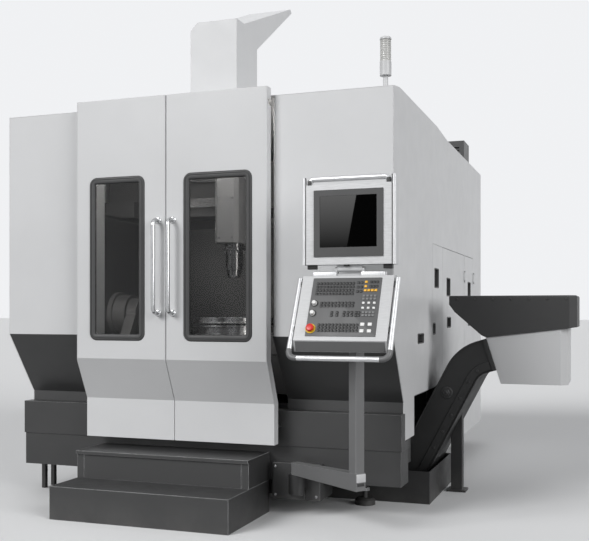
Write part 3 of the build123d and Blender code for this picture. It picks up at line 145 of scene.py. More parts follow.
def compute(tree, operation, *values, clamp=False):
    """The result of one Math node."""
    inputs = dict(enumerate(values))
    return add(tree, "ShaderNodeMath", inputs, operation=operation, use_clamp=clamp).outputs[0]


def scaled(tree, colour, factor):
    """A colour times a factor."""
    return add(tree, "ShaderNodeVectorMath", {0: colour, "Scale": factor}, operation="SCALE").outputs[0]


def remap(tree, source, low, high, new_low, new_high):
    """The source carried from one range to another."""
    inputs = {"Value": source, "From Min": low, "From Max": high, "To Min": new_low, "To Max": new_high}
    return add(tree, "ShaderNodeMapRange", inputs).outputs[0]


def mix_colour(tree, mask, low, high):
    """The low colour where the mask is 0, and the high one where it is 1."""
    return add(tree, "ShaderNodeMix", {0: mask, 6: low, 7: high}, data_type="RGBA").outputs[2]


def object_spot(tree):
    """Object coordinates, which on these pieces are metres in the machine's own frame."""
    return add(tree, "ShaderNodeTexCoord").outputs["Object"]


def object_axes(tree):
    """The three Object coordinates, one by one."""
    return add(tree, "ShaderNodeSeparateXYZ", {0: object_spot(tree)}).outputs


def blank(name):
    """A new material with its tree and its Principled shader."""
    made = bpy.data.materials.new(name)
    made.use_nodes = True
    return made, made.node_tree, made.node_tree.nodes["Principled BSDF"]


def sheet(name, corners, material):
    """One quad of the studio."""
    mesh = bpy.data.meshes.new(name)
    mesh.from_pydata(corners, [], [(0, 1, 2, 3)])
    mesh.materials.append(material)
    return link(bpy.data.objects.new(name, mesh))


print("helpers for nodes ready")

# %% [markdown]
# ## World and floor
# What the camera sees of the world, and what metal and glass mirror, is pale. Rays that only carry light
# find a dimmer world and a greyer floor, so that the folds that face down stay dark as in the photograph.

# %% Pale surroundings
WORLD_FILL, WORLD_SEEN = 0.30, 0.90
WORLD_TINT = (0.97, 0.98, 1.0, 1.0)


def seen_directly(tree):
    """1 for rays from the camera, a mirror or a pane, and 0 for rays that only carry light."""
    rays = add(tree, "ShaderNodeLightPath").outputs
    plain = compute(tree, "MAXIMUM", rays["Is Camera Ray"], rays["Is Glossy Ray"])
    return compute(tree, "MAXIMUM", plain, rays["Is Transmission Ray"])


world = bpy.data.worlds.new("studio")
stage.world = world
world.use_nodes = True
sky = world.node_tree
strength = remap(sky, seen_directly(sky), 0.0, 1.0, WORLD_FILL, WORLD_SEEN)
feed(sky, sky.nodes["Background"], {"Color": WORLD_TINT, "Strength": strength})
print("world", WORLD_FILL, "as light,", WORLD_SEEN, "as seen")

# %% Floor
FLOOR_HALF, FLOOR_ROUGH, FLOOR_SHINE = 120.0, 0.8, 0.1
FLOOR_DIM, FLOOR_PALE = (0.04, 0.04, 0.041, 1.0), (0.80, 0.805, 0.81, 1.0)
floor_paint, floor_tree, floor_shader = blank("studio_floor")
floor_tone = mix_colour(floor_tree, seen_directly(floor_tree), FLOOR_DIM, FLOOR_PALE)
feed(floor_tree, floor_shader,
     {"Base Color": floor_tone, "Roughness": FLOOR_ROUGH, "Specular IOR Level": FLOOR_SHINE})
floor_corners = np.array(((-1, -1, 0), (1, -1, 0), (1, 1, 0), (-1, 1, 0))) * FLOOR_HALF
floor = sheet("studio_floor", floor_corners.tolist(), floor_paint)
print("floor", FLOOR_HALF * 2, "m wide")

# %% [markdown]
# ## A soft box for the screen
# The black screen mirrors a lit studio card with a slanting edge, and beyond it the dark of the room. A
# card that only mirrors can see does the same. For a flat screen that faces the front, the mirrored line
# of sight is back at the camera's own depth at twice its offset, and that gives the card's place.

# %% Reflector card
CARD_FROM, CARD_TO = -0.4, 1.4
EDGE_AT_FOOT, EDGE_AT_TOP = 0.478, 0.644
CARD_DIM, CARD_BRIGHT = 0.25, 2.6
glass_low, glass_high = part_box("display_screen")


def mirrored(across, up):
    """Where the line of sight that meets the screen at shares of its width and height ends at the
    camera's depth."""
    x = glass_low.x + across * (glass_high.x - glass_low.x)
    z = glass_low.z + up * (glass_high.z - glass_low.z)
    return np.array((2 * x - camera.location.x, camera.location.y, 2 * z - camera.location.z))


card_look, card_tree, card_shader = blank("reflector_card")
card_tree.nodes.remove(card_shader)
card_axes = object_axes(card_tree)
low_edge, high_edge = mirrored(EDGE_AT_FOOT, 0.0), mirrored(EDGE_AT_TOP, 1.0)
lean = (high_edge[0] - low_edge[0]) / (high_edge[2] - low_edge[2])
edge = compute(card_tree, "MULTIPLY_ADD", card_axes["Z"], lean, low_edge[0] - lean * low_edge[2])
inside = compute(card_tree, "LESS_THAN", card_axes["X"], edge)
fall = remap(card_tree, card_axes["Z"], low_edge[2], high_edge[2], CARD_DIM, CARD_BRIGHT)
shine = compute(card_tree, "MULTIPLY", inside, fall)
card_glow = add(card_tree, "ShaderNodeEmission", {"Strength": shine})
feed(card_tree, card_tree.nodes["Material Output"], {"Surface": card_glow.outputs[0]})
card_shares = ((CARD_FROM, CARD_FROM), (CARD_TO, CARD_FROM), (CARD_TO, CARD_TO), (CARD_FROM, CARD_TO))
card = sheet("reflector_card", [mirrored(*shares).tolist() for shares in card_shares], card_look)
card.visible_camera = False
card.visible_diffuse = False
card.visible_transmission = False
card.visible_shadow = False
print("card edge from", np.round(low_edge, 2), "to", np.round(high_edge, 2))

# %% [markdown]
# ## Shared effects as node groups
# Four effects come back in many finishes, so each is a group that is built once. All read Object
# coordinates, so a pattern keeps its size. The helpers below make a group's sockets and give noise.

# %% Helpers for node groups
FLOAT, COLOUR, VECTOR = "NodeSocketFloat", "NodeSocketColor", "NodeSocketVector"
NOISE_LOW, NOISE_HIGH = 0.3, 0.7


def start_group(name, inputs, outputs):
    """An empty shader group with named sockets, the sockets it is given, and its end node."""
    group = bpy.data.node_groups.new(name, "ShaderNodeTree")
    for label, kind, value in inputs:
        group.interface.new_socket(label, in_out="INPUT", socket_type=kind).default_value = value
    for label, kind in outputs:
        group.interface.new_socket(label, in_out="OUTPUT", socket_type=kind)
    return group, group.nodes.new("NodeGroupInput").outputs, group.nodes.new("NodeGroupOutput")


def noise(tree, scale, detail=3.0, stretch=(1.0, 1.0, 1.0), rough=0.55):
    """A noise pattern on Object coordinates, stretched along the axes."""
    place = add(tree, "ShaderNodeMapping", {"Vector": object_spot(tree), "Scale": stretch})
    inputs = {"Vector": place.outputs["Vector"], "Scale": scale, "Detail": detail, "Roughness": rough}
    return add(tree, "ShaderNodeTexNoise", inputs).outputs["Fac"]


def spread(tree, source, low, high):
    """The middle range of a noise carried to the range from low to high."""
    return remap(tree, source, NOISE_LOW, NOISE_HIGH, low, high)


print("helpers for groups ready")

# %% [markdown]
# ### Powder coat
# Sheet metal is sprayed with powder and baked. The film is a little cloudy in tone and gloss, and its skin
# has fine orange peel. Three noises of very different scale give tone, gloss and peel.

# %% Powder coat
CLOUD_SCALE, GLOSS_SCALE, PEEL_SCALE, GLOSS_SWING = 1.7, 9.0, 420.0, 0.06
coat, given, end = start_group(
    "Powder coat",
    [("Colour", COLOUR, (0.6, 0.6, 0.6, 1)), ("Shade", FLOAT, 0.04), ("Gloss", FLOAT, 0.4)],
    [("Colour", COLOUR), ("Roughness", FLOAT), ("Height", FLOAT)])
cloudy = spread(coat, noise(coat, CLOUD_SCALE, detail=4.0), -1.0, 1.0)
tint = compute(coat, "MULTIPLY_ADD", cloudy, given["Shade"], 1.0)
patchy = spread(coat, noise(coat, GLOSS_SCALE), -1.0, 1.0)
matt = compute(coat, "MULTIPLY_ADD", patchy, GLOSS_SWING, given["Gloss"], clamp=True)
feed(coat, end, {"Colour": scaled(coat, given["Colour"], tint), "Roughness": matt,
                 "Height": noise(coat, PEEL_SCALE, detail=1.0)})
print(coat.name, len(coat.nodes), "nodes")

# %% [markdown]
# ### Soft edges, rubbed wear and painted highlight
# Folded sheet has no razor edges. The Bevel node gives a normal that bends near an edge, and how far it
# leaves the true normal is a mask of where edges are. Edges under that mask are painted lighter: partly the
# wear of hands and boots, and partly a painted highlight where light would catch a rounded edge.

# %% Soft edges, rubbed wear and painted highlight
STRAIGHT, BENT, EDGE_PATCH_SCALE, EDGE_PATCH_LEAST = 0.995, 0.86, 14.0, 0.35
edges, given, end = start_group(
    "Soft edges, wear and highlight", [("Radius", FLOAT, 0.003), ("Rub", FLOAT, 0.5)], [("Mask", FLOAT), ("Normal", VECTOR)])
soft = add(edges, "ShaderNodeBevel", {"Radius": given["Radius"]}, samples=4).outputs["Normal"]
true = add(edges, "ShaderNodeNewGeometry").outputs["Normal"]
leaning = add(edges, "ShaderNodeVectorMath", {0: soft, 1: true}, operation="DOT_PRODUCT").outputs["Value"]
bent = remap(edges, leaning, STRAIGHT, BENT, 0.0, 1.0)
patchy_edge = spread(edges, noise(edges, EDGE_PATCH_SCALE, detail=5.0), EDGE_PATCH_LEAST, 1.0)
highlight_and_wear = compute(edges, "MULTIPLY", bent, patchy_edge)
# The mask that lightens edges: partly rubbed wear, partly a painted highlight.
mask = compute(edges, "MULTIPLY", highlight_and_wear, given["Rub"], clamp=True)
feed(edges, end, {"Mask": mask, "Normal": soft})
print(edges.name, len(edges.nodes), "nodes")

# %% [markdown]
# ### Brushed streaks
# Rolled, turned and ground metal keeps fine lines along one way. Noise that is squeezed across the lines
# and drawn out along them gives tone, gloss and depth that belong together.

# %% Brushed streaks
GRAIN_SCALE, GRAIN_ROUGH, GRAIN_DARK, GRAIN_LIGHT, POLISH_SWING = 6.0, 0.5, 0.9, 1.08, 0.08
streak, given, end = start_group(
    "Brushed streaks",
    [("Colour", COLOUR, (0.5, 0.5, 0.5, 1)), ("Gloss", FLOAT, 0.3), ("Stretch", VECTOR, (4, 90, 90))],
    [("Colour", COLOUR), ("Roughness", FLOAT), ("Height", FLOAT)])
grain = noise(streak, GRAIN_SCALE, detail=4.0, stretch=given["Stretch"], rough=GRAIN_ROUGH)
lined = scaled(streak, given["Colour"], spread(streak, grain, GRAIN_DARK, GRAIN_LIGHT))
swing = spread(streak, grain, -1.0, 1.0)
polish = compute(streak, "MULTIPLY_ADD", swing, POLISH_SWING, given["Gloss"], clamp=True)
feed(streak, end, {"Colour": lined, "Roughness": polish, "Height": grain})
print(streak.name, len(streak.nodes), "nodes")

# %% [markdown]
# ### Dust near the floor
# Workshop dust lies thickest just above the floor. A fade with height, broken up by noise, is its mask.

# %% Dust near the floor
DUST_SCALE, DUST_LEAST = 7.0, 0.2
dust, given, end = start_group(
    "Floor dust", [("Top", FLOAT, 0.5), ("Amount", FLOAT, 0.3)], [("Mask", FLOAT)])
fade = remap(dust, object_axes(dust)["Z"], 0.0, given["Top"], 1.0, 0.0)
drifts = spread(dust, noise(dust, DUST_SCALE, detail=6.0), DUST_LEAST, 1.0)
settled = compute(dust, "MULTIPLY", fade, drifts)
feed(dust, end, {"Mask": compute(dust, "MULTIPLY", settled, given["Amount"], clamp=True)})
print(dust.name, len(dust.nodes), "nodes")

# %% [markdown]
# ## Finishes
# A finish is a Principled shader fed by these groups. Painted sheet takes the powder coat, soft edges and
# sometimes dust; bare metal takes the streaks; plastic and rubber take the coat with a pebbled skin. Values
# that are the same all over, such as how metallic a finish is, sit on the shader itself.

# %% Functions that mix finishes
PEEL_DEPTH, DUST_AMOUNT, DUST_TONE = 0.0006, 0.16, (0.24, 0.235, 0.225, 1.0)
METAL_EDGE, METAL_WEAR_AND_HIGHLIGHT, METAL_BUMP, METAL_DEPTH = 0.002, 0.35, 0.08, 0.0004
WEAR_AND_HIGHLIGHT_LIFT, WEAR_AND_HIGHLIGHT_LIMIT = 1.3, 0.9
PEBBLE_SCALE, PEBBLE_SHADE, PEBBLE_BUMP, PEBBLE_DEPTH = 160.0, 0.05, 0.25, 0.0004
COOL_GREEN, COOL_BLUE = 1.008, 1.02


def use(tree, group, **inputs):
    """A shared effect placed in a tree with its own values, as its output sockets."""
    return add(tree, "ShaderNodeGroup", inputs, node_tree=group).outputs


def bump(tree, height, strength, depth, **normal):
    """A normal that follows a height, on top of another normal where one is given."""
    inputs = {"Height": height, "Strength": strength, "Distance": depth, **normal}
    return add(tree, "ShaderNodeBump", inputs).outputs["Normal"]


def grey(value):
    """A grey that is a little cooler than neutral."""
    return (value, value * COOL_GREEN, value * COOL_BLUE, 1.0)


def painted(name, tone, gloss=0.42, shade=0.03, rub_and_highlight=0.4, rub_and_highlight_tone=0.6, radius=0.003, dust_top=0.0,
            peel=0.12):
    """Powder-coated sheet: clouded tone, fine peel, soft edges lightened by wear and painted highlight, and, low
    down, dust.
    """
    made, tree, shader = blank(name)
    skin = use(tree, coat, Colour=grey(tone), Shade=shade, Gloss=gloss)
    rim = use(tree, edges, Radius=radius, Rub=rub_and_highlight)
    # Edges take a lighter tone: partly rubbed wear, partly a painted highlight.
    colour = mix_colour(tree, rim["Mask"], skin["Colour"], grey(rub_and_highlight_tone))
    if dust_top:
        film = use(tree, dust, Top=dust_top, Amount=DUST_AMOUNT)
        colour = mix_colour(tree, film["Mask"], colour, DUST_TONE)
    normal = bump(tree, skin["Height"], peel, PEEL_DEPTH, Normal=rim["Normal"])
    feed(tree, shader, {"Base Color": colour, "Roughness": skin["Roughness"], "Normal": normal})
    return made


def bare_metal(name, tone, gloss, stretch, metallic=1.0):
    """Brushed or turned metal: streaks along one axis, soft edges painted brighter as wear and a painted
    highlight.
    """
    made, tree, shader = blank(name)
    lay = use(tree, streak, Colour=grey(tone), Gloss=gloss, Stretch=stretch)
    rim = use(tree, edges, Radius=METAL_EDGE, Rub=METAL_WEAR_AND_HIGHLIGHT)
    # Edges take a brighter tone: partly rubbed wear, partly a painted highlight.
    colour = mix_colour(tree, rim["Mask"], lay["Colour"], grey(min(WEAR_AND_HIGHLIGHT_LIMIT, tone * WEAR_AND_HIGHLIGHT_LIFT)))
    normal = bump(tree, lay["Height"], METAL_BUMP, METAL_DEPTH, Normal=rim["Normal"])
    feed(tree, shader, {"Base Color": colour, "Roughness": lay["Roughness"], "Metallic": metallic,
                        "Normal": normal})
    return made


def moulded(name, colour, gloss):
    """Moulded plastic or rubber: an even colour with a fine pebbled skin."""
    made, tree, shader = blank(name)
    skin = use(tree, coat, Colour=colour, Shade=PEBBLE_SHADE, Gloss=gloss)
    normal = bump(tree, noise(tree, PEBBLE_SCALE, detail=2.0), PEBBLE_BUMP, PEBBLE_DEPTH)
    feed(tree, shader, {"Base Color": skin["Colour"], "Roughness": skin["Roughness"], "Normal": normal})
    return made


print("finish makers ready")

# %% [markdown]
# ### The machine's own finishes
# Tones are read from the photograph and written as plain reflectance. Steps, skirt and conveyor are dark
# paint whose edges are painted bright, partly rubbed wear and partly a painted highlight; the control panel
# is clear anodised aluminium; the pulls are chrome.

# %% Paint and metal
# rub_and_highlight and its tone paint edges lighter: partly rubbed wear, partly a painted highlight.
PAINTS = {
    "white_sheet": dict(tone=0.62, gloss=0.40, rub_and_highlight=0.15, rub_and_highlight_tone=0.68),
    "apron_grey": dict(tone=0.040, rub_and_highlight_tone=0.13),
    "base_grey": dict(tone=0.028, gloss=0.45, rub_and_highlight=1.0, rub_and_highlight_tone=0.20, dust_top=0.2, radius=0.005),
    "step_grey": dict(tone=0.031, gloss=0.50, rub_and_highlight=1.4, rub_and_highlight_tone=0.34, dust_top=0.15, radius=0.006, peel=0.3),
    "conveyor_black": dict(tone=0.006, gloss=0.55, rub_and_highlight=0.6, rub_and_highlight_tone=0.05, dust_top=0.15, radius=0.004),
    "hood_black": dict(tone=0.016, gloss=0.52, rub_and_highlight=0.7, rub_and_highlight_tone=0.11, radius=0.005),
    "chute_grey": dict(tone=0.54, gloss=0.40, rub_and_highlight=0.3, radius=0.004),
    "arm_grey": dict(tone=0.15, gloss=0.38, rub_and_highlight=0.5, rub_and_highlight_tone=0.36),
    "ram_grey": dict(tone=0.36, gloss=0.35, rub_and_highlight=0.3),
    "casting_grey": dict(tone=0.07, gloss=0.5, shade=0.12, peel=0.5, rub_and_highlight=0.5, rub_and_highlight_tone=0.3),
}
METALS = {  # tone, gloss, stretch of the streaks, metallic
    "case_silver": (0.58, 0.42, (4, 60, 60), 0.25),
    "board_silver": (0.44, 0.45, (4, 60, 60), 0.25),
    "tube_silver": (0.58, 0.36, (4, 60, 60), 0.85),
    "rail_silver": (0.60, 0.40, (60, 60, 4), 0.6),
    "table_steel": (0.60, 0.28, (5, 70, 70)),
    "spindle_steel": (0.24, 0.24, (60, 60, 5)),
    "rail_steel": (0.22, 0.30, (4, 80, 80)),
    "liner_steel": (0.06, 0.42, (70, 70, 4), 0.6),
    "belt_steel": (0.30, 0.40, (60, 4, 60)),
    "handle_chrome": (0.56, 0.14, (40, 40, 4)),
    "screw_steel": (0.35, 0.30, (40, 40, 40)),
}
look = {name: painted(name, **values) for name, values in PAINTS.items()}
look.update({name: bare_metal(name, *values) for name, values in METALS.items()})
print("paint and metal", len(look))

# %% Plastic and rubber
PLASTICS = {  # colour, gloss
    "gasket_rubber": (grey(0.040), 0.55),
    "bezel_plastic": (grey(0.055), 0.5),
    "chin_plastic": (grey(0.11), 0.5),
    "corner_plastic": (grey(0.13), 0.4),
    "black_plastic": (grey(0.012), 0.42),
    "plate_plastic": (grey(0.085), 0.5),
    "key_dark": (grey(0.010), 0.45),
    "key_grey": (grey(0.17), 0.45),
    "key_white": ((0.80, 0.80, 0.79, 1.0), 0.4),
    "key_amber": ((0.82, 0.43, 0.02, 1.0), 0.4),
    "knob_white": ((0.74, 0.74, 0.73, 1.0), 0.35),
    "stop_red": ((0.58, 0.022, 0.015, 1.0), 0.28),
    "stop_yellow": ((0.72, 0.46, 0.02, 1.0), 0.4),
    "beacon_grey": (grey(0.55), 0.35),
    "lens_clear": ((0.62, 0.62, 0.60, 1.0), 0.18),
}
LENS_CLEAR = 0.35
look.update({name: moulded(name, *values) for name, values in PLASTICS.items()})
lens_nodes = look["lens_clear"].node_tree.nodes
lens_nodes["Principled BSDF"].inputs["Transmission Weight"].default_value = LENS_CLEAR
print("with plastic and rubber", len(look))

# %% [markdown]
# ### Glass and screen
# The panes are tinted and let the lit work area through; the screen is black. Both only carry faint
# smudges that change how sharp they mirror. Alpha keeps the pane thin and quick to render.

# %% Glass
GLASSES = {  # tone, alpha, least and most roughness
    "window_glass": (0.010, 0.30, 0.02, 0.06),
    "screen_glass": (0.0015, 1.0, 0.004, 0.02),
}
SMUDGE_SCALE, TINGE_SCALE, TINGE = 5.0, 3.0, 1.5


def smudged(name, tone, alpha, low, high):
    """Smooth glass: faint smudges only change how sharp it mirrors, and its tone by a little."""
    made, tree, shader = blank(name)
    smears = spread(tree, noise(tree, SMUDGE_SCALE, detail=5.0), low, high)
    tinge = mix_colour(tree, noise(tree, TINGE_SCALE), grey(tone), grey(tone * TINGE))
    feed(tree, shader, {"Base Color": tinge, "Roughness": smears, "Alpha": alpha})
    return made


look.update({name: smudged(name, *values) for name, values in GLASSES.items()})
print("finishes", len(look))

# %% [markdown]
# ## Finishes on the carried-over solids
# Solids whose shape is already right keep their mesh and only change their finish.

# %% Dress the solids
finish_of = {
    "white_sheet": "left_front_panel right_front_panel left_side_panel right_side_panel rear_panel "
                   "roof_panel magazine_door rear_service_door cabinet_door left_door_leaf "
                   "right_door_leaf roof_hood",
    "apron_grey": "front_aprons rear_roof_unit",
    "base_grey": "base_skirt arm_bracket",
    "step_grey": "lower_step upper_step",
    "conveyor_black": "coolant_tank conveyor_casing conveyor_leg levelling_feet",
    "hood_black": "conveyor_head",
    "black_plastic": "arm_pivot",
    "chute_grey": "discharge_chute",
    "arm_grey": "swing_arm",
    "ram_grey": "spindle_ram",
    "casting_grey": "machine_bed trunnion_bearings table_cradle head_saddle cross_beam conveyor_motor",
    "case_silver": "display_housing",
    "board_silver": "keyboard_housing panel_bracket",
    "tube_silver": "keyboard_handle display_handle",
    "table_steel": "rotary_table",
    "spindle_steel": "spindle_shaft spindle_sleeve",
    "rail_steel": "door_rails beam_rails bed_rails",
    "liner_steel": "work_area_liner",
    "belt_steel": "conveyor_belt",
    "handle_chrome": "left_door_handle right_door_handle",
    "gasket_rubber": "left_window_gasket right_window_gasket",
    "window_glass": "left_window_pane right_window_pane",
    "screen_glass": "display_screen",
    "bezel_plastic": "display_bezel",
    "plate_plastic": "key_plate",
    "stop_red": "stop_button",
    "knob_white": "feed_knob speed_knob",
    "beacon_grey": "beacon_housing",
    "lens_clear": "beacon_lens",
}
for finish, names in finish_of.items():
    for name in names.split():
        node[name].data.materials.clear()
        node[name].data.materials.append(look[finish])
print("dressed", sum(len(names.split()) for names in finish_of.values()), "of", len(node), "nodes")

# %% [markdown]
# ## Shapes worked out as arrays
# New pieces are grids of points. A grid needs a rule for its quads, a way to become a mesh, and a few
# shapes to start from: a profile carried along a path, a profile turned round an axis, and a block with
# rounded edges. Each is a formula over whole arrays.

# %% From arrays to objects
MERGE, SHARP_DEG, MM_PER_M = 1e-6, 32, 1000.0


def at(x, y, z):
    """Millimetres from HOME to metres in the machine's own frame."""
    return HOME + np.array((x, y, z)) / MM_PER_M


def quads(rows, columns, wrap_rows=False, wrap_columns=False):
    """The corners of each cell of a grid of rows by columns, closed round either way if asked."""
    i = np.arange(rows if wrap_rows else rows - 1)
    j = np.arange(columns if wrap_columns else columns - 1)
    a, b = np.meshgrid(i, j, indexing="ij")
    c, d = (a + 1) % rows, (b + 1) % columns
    return np.stack((a * columns + b, a * columns + d, c * columns + d, c * columns + b), -1).reshape(-1, 4)


def capped(shape):
    """Faces of a tube of rings, with a flat cap on its first and its last ring."""
    rows, columns = shape.shape[:2]
    ends = np.stack((np.arange(columns)[::-1], np.arange(columns) + (rows - 1) * columns))
    return [quads(rows, columns, False, True), ends]


def endless(shape):
    """Faces of a grid that closes on itself both ways."""
    return [quads(*shape.shape[:2], True, True)]


def piece(name, shapes, finish, body, faces=None):
    """One mesh from shapes that share a set of faces, which are those of a capped tube if none are given:
    the faces of copy k are shifted by k times the number of points. Doubled points are merged and normals
    turned outwards, then the piece is tied to its body."""
    points = np.stack([np.reshape(shape, (-1, 3)) for shape in shapes])
    shifts = np.arange(len(points))[:, None, None] * points.shape[1]
    rows = [row for group in faces or capped(shapes[0])
            for row in (group[None] + shifts).reshape(-1, group.shape[1]).tolist()]
    mesh = bpy.data.meshes.new(name)
    mesh.from_pydata(points.reshape(-1, 3).tolist(), [], rows)
    work = bmesh.new()
    work.from_mesh(mesh)
    bmesh.ops.remove_doubles(work, verts=work.verts, dist=MERGE)
    bmesh.ops.recalc_face_normals(work, faces=work.faces)
    work.to_mesh(mesh)
    work.free()
    mesh.polygons.foreach_set("use_smooth", np.ones(len(mesh.polygons), bool))
    mesh.set_sharp_from_angle(angle=radians(SHARP_DEG))
    mesh.materials.append(look[finish])
    made = link(bpy.data.objects.new(name, mesh))
    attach(made, body)
    return made


print("pieces can be made")

# %% Paths and tubes
def unit(vectors):
    """Vectors brought to length 1."""
    return vectors / np.linalg.norm(vectors, axis=-1, keepdims=True)


def rounded_path(corners, bend, steps, closed=False):
    """Straight runs whose corners are replaced by arcs: each arc's centre lies on the corner's bisector, at
    bend / sin(half the corner), and the arc blends the corner's two tangent points round that centre."""
    corners = np.asarray(corners, float)
    count = len(corners)
    runs = [] if closed else [corners[:1]]
    for k in range(count) if closed else range(1, count - 1):
        here = corners[k]
        back, ahead = unit(corners[k - 1] - here), unit(corners[(k + 1) % count] - here)
        half = np.arccos(np.clip(back @ ahead, -1, 1)) / 2
        centre = here + unit(back + ahead) * bend / sin(half)
        first = here + back * bend / tan(half) - centre
        last = here + ahead * bend / tan(half) - centre
        swing = pi - 2 * half
        t = np.linspace(0, 1, steps)[:, None]
        runs.append(centre + (np.sin((1 - t) * swing) * first + np.sin(t * swing) * last) / sin(swing))
    return np.concatenate(runs if closed else runs + [corners[-1:]])


def carried(path, side, profile, closed=False):
    """A profile carried along a flat path: point = path + side * u + (tangent x side) * v."""
    if closed:
        ahead = np.roll(path, -1, 0) - path
        back = path - np.roll(path, 1, 0)
    else:
        ahead = np.vstack((path[1:] - path[:-1], path[-1:] - path[-2:-1]))
        back = np.vstack((path[1:2] - path[:1], path[1:] - path[:-1]))
    side = np.asarray(side, float)
    across = np.cross(unit(unit(ahead) + unit(back)), side)
    profile = np.asarray(profile, float)
    return path[:, None] + profile[None, :, :1] * side + profile[None, :, 1:] * across[:, None]


def along(path, distances, step=0.001):
    """Points at given distances along a path, and the path's direction there, by interpolation over its
    length."""
    lengths = np.concatenate(((0.0,), np.cumsum(np.linalg.norm(np.diff(path, axis=0), axis=1))))
    spots, ahead = (np.stack([np.interp(np.asarray(distances) + more, lengths, path[:, k])
                              for k in range(3)], -1) for more in (0.0, step))
    return spots, unit(ahead - spots)


print("paths and tubes ready")

# %% Rings, turned shapes and soft blocks
CORNER_STEPS, CORNER_MOST, CORNER_LEAST = 5, 1.5, 0.4
OUTLINE = 4 * CORNER_STEPS


def ring(radius, count=24):
    """A circle of points."""
    turn = np.linspace(0, 2 * pi, count, endpoint=False)
    return np.stack((np.cos(turn), np.sin(turn)), -1) * radius


def turned(profile, count):
    """A profile of (radius, height) turned round the Z axis."""
    profile = np.asarray(profile, float)
    turn = np.linspace(0, 2 * pi, count, endpoint=False)
    return np.stack((profile[:, :1] * np.cos(turn), profile[:, :1] * np.sin(turn),
                     np.repeat(profile[:, 1:], count, 1)), -1)


def round_rectangle(width, height, radius):
    """The outline of a rectangle whose corners are quarter circles."""
    turn = (np.linspace(0, pi / 2, CORNER_STEPS) + np.arange(4)[:, None] * pi / 2).ravel()
    centres = np.array(((1, 1), (-1, 1), (-1, -1), (1, -1))) * (width / 2 - radius, height / 2 - radius)
    return np.repeat(centres, CORNER_STEPS, 0) + np.stack((np.cos(turn), np.sin(turn)), -1) * radius


def rings_of(sizes):
    """A stack of rounded rectangles from rows of width, height, corner radius and level."""
    return np.stack([np.c_[round_rectangle(w, h, r), np.full(OUTLINE, z)] for w, h, r, z in sizes])


def soft_block(width, height, depth, radius, steps=4):
    """A block from z = 0 to its depth whose upright and top edges are rounded: the outline shrinks by
    radius * (1 - cos) while it rises by radius * sin."""
    turn = np.linspace(0, pi / 2, steps)
    inset = np.concatenate(((0.0,), radius * (1 - np.cos(turn))))
    rise = np.concatenate(((0.0,), depth - radius + radius * np.sin(turn)))
    corner = np.maximum(radius * CORNER_MOST - inset, radius * CORNER_LEAST)
    return rings_of(zip(width - 2 * inset, height - 2 * inset, corner, rise))


def facing(shape, out, place, up=(0, 0, 1)):
    """A shape whose own z axis is turned outwards, with its y axis nearest to up, and set down at its
    place."""
    out = np.asarray(out, float) / np.linalg.norm(out)
    x = unit(np.cross(up, out))
    return shape @ np.stack((x, np.cross(out, x), out)) + place


print("shape helpers ready")

# %% [markdown]
# ## Window gaskets
# Each window is held by a wide rubber profile with round corners. A flat ring would look cut from card, so
# a crowned section with a fine locking groove is carried round the window's outline.

# %% Gaskets
GASKET_WIDTH, GASKET_CORNER, GASKET_STEPS, GASKET_POINTS = 0.038, 0.045, 10, 25
CROWN, CROWN_POWER, GASKET_BACK = 0.009, 3, 0.016
LOCK_DEPTH, LOCK_AT, LOCK_SPREAD = 0.0035, 0.25, 0.06
half = GASKET_WIDTH / 2
across = np.linspace(-1, 1, GASKET_POINTS)
gasket_rise = (CROWN * np.sqrt(1 - np.abs(across) ** CROWN_POWER) - CROWN
               - LOCK_DEPTH * np.exp(-((across - LOCK_AT) / LOCK_SPREAD) ** 2))
gasket_profile = np.vstack((np.c_[gasket_rise, across * half], (-GASKET_BACK, half), (-GASKET_BACK, -half)))
for side in ("left", "right"):
    low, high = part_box(f"{side}_window_gasket")
    left, right, bottom, top = low.x + half, high.x - half, low.z + half, high.z - half
    corners = [(x, low.y, z) for x, z in ((left, bottom), (right, bottom), (right, top), (left, top))]
    path = rounded_path(corners, GASKET_CORNER - half, GASKET_STEPS, closed=True)
    rubber = carried(path, (0, -1, 0), gasket_profile, closed=True)
    gasket = piece(f"{side}_gasket", [rubber], "gasket_rubber", f"{side}_door", endless(rubber))
    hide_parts(f"{side}_window_gasket")
    print(gasket.name, len(gasket.data.polygons))

# %% [markdown]
# ## Pull handles
# The pulls are bent chrome tube. The solids have flat facets that show on a mirror finish, so a finer tube
# follows the same bends, and a turned foot covers each end.

# %% Handles
PULL_BEND, PULL_STEPS, FOOT_POINTS = 0.034, 14, 28
PULL_FOOT = [(0.008, 0.0), (0.008, 0.004), (0.004, 0.008), (0.0005, 0.009)]
for side in ("left", "right"):
    low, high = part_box(f"{side}_door_handle")
    radius, x = (high.x - low.x) / 2, (low.x + high.x) / 2
    front, top, bottom = low.y + radius, high.z - radius, low.z + radius
    corners = [(x, y, z) for y, z in ((high.y, top), (front, top), (front, bottom), (high.y, bottom))]
    bent_tube = carried(rounded_path(corners, PULL_BEND, PULL_STEPS), (1, 0, 0), ring(radius))
    pull = piece(f"{side}_pull", [bent_tube], "handle_chrome", f"{side}_door")
    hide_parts(f"{side}_door_handle")
    foot = turned(np.add(PULL_FOOT, (radius, 0)), FOOT_POINTS)
    feet = [facing(foot, (0, -1, 0), (x, high.y, z)) for z in (bottom, top)]
    piece(f"{side}_pull_feet", feet, "handle_chrome", f"{side}_door")
    print(pull.name, round(high.z - low.z, 3))

# %% [markdown]
# ## The keyboard
# The keys are small caps in groups: dark letter keys, grey and white function keys and an amber corner.
# Every key of one colour is a copy of one rounded cap, stacked into one mesh. The plate lies in the sloping
# plane of the housing, so places are given as shares across and down that plate.

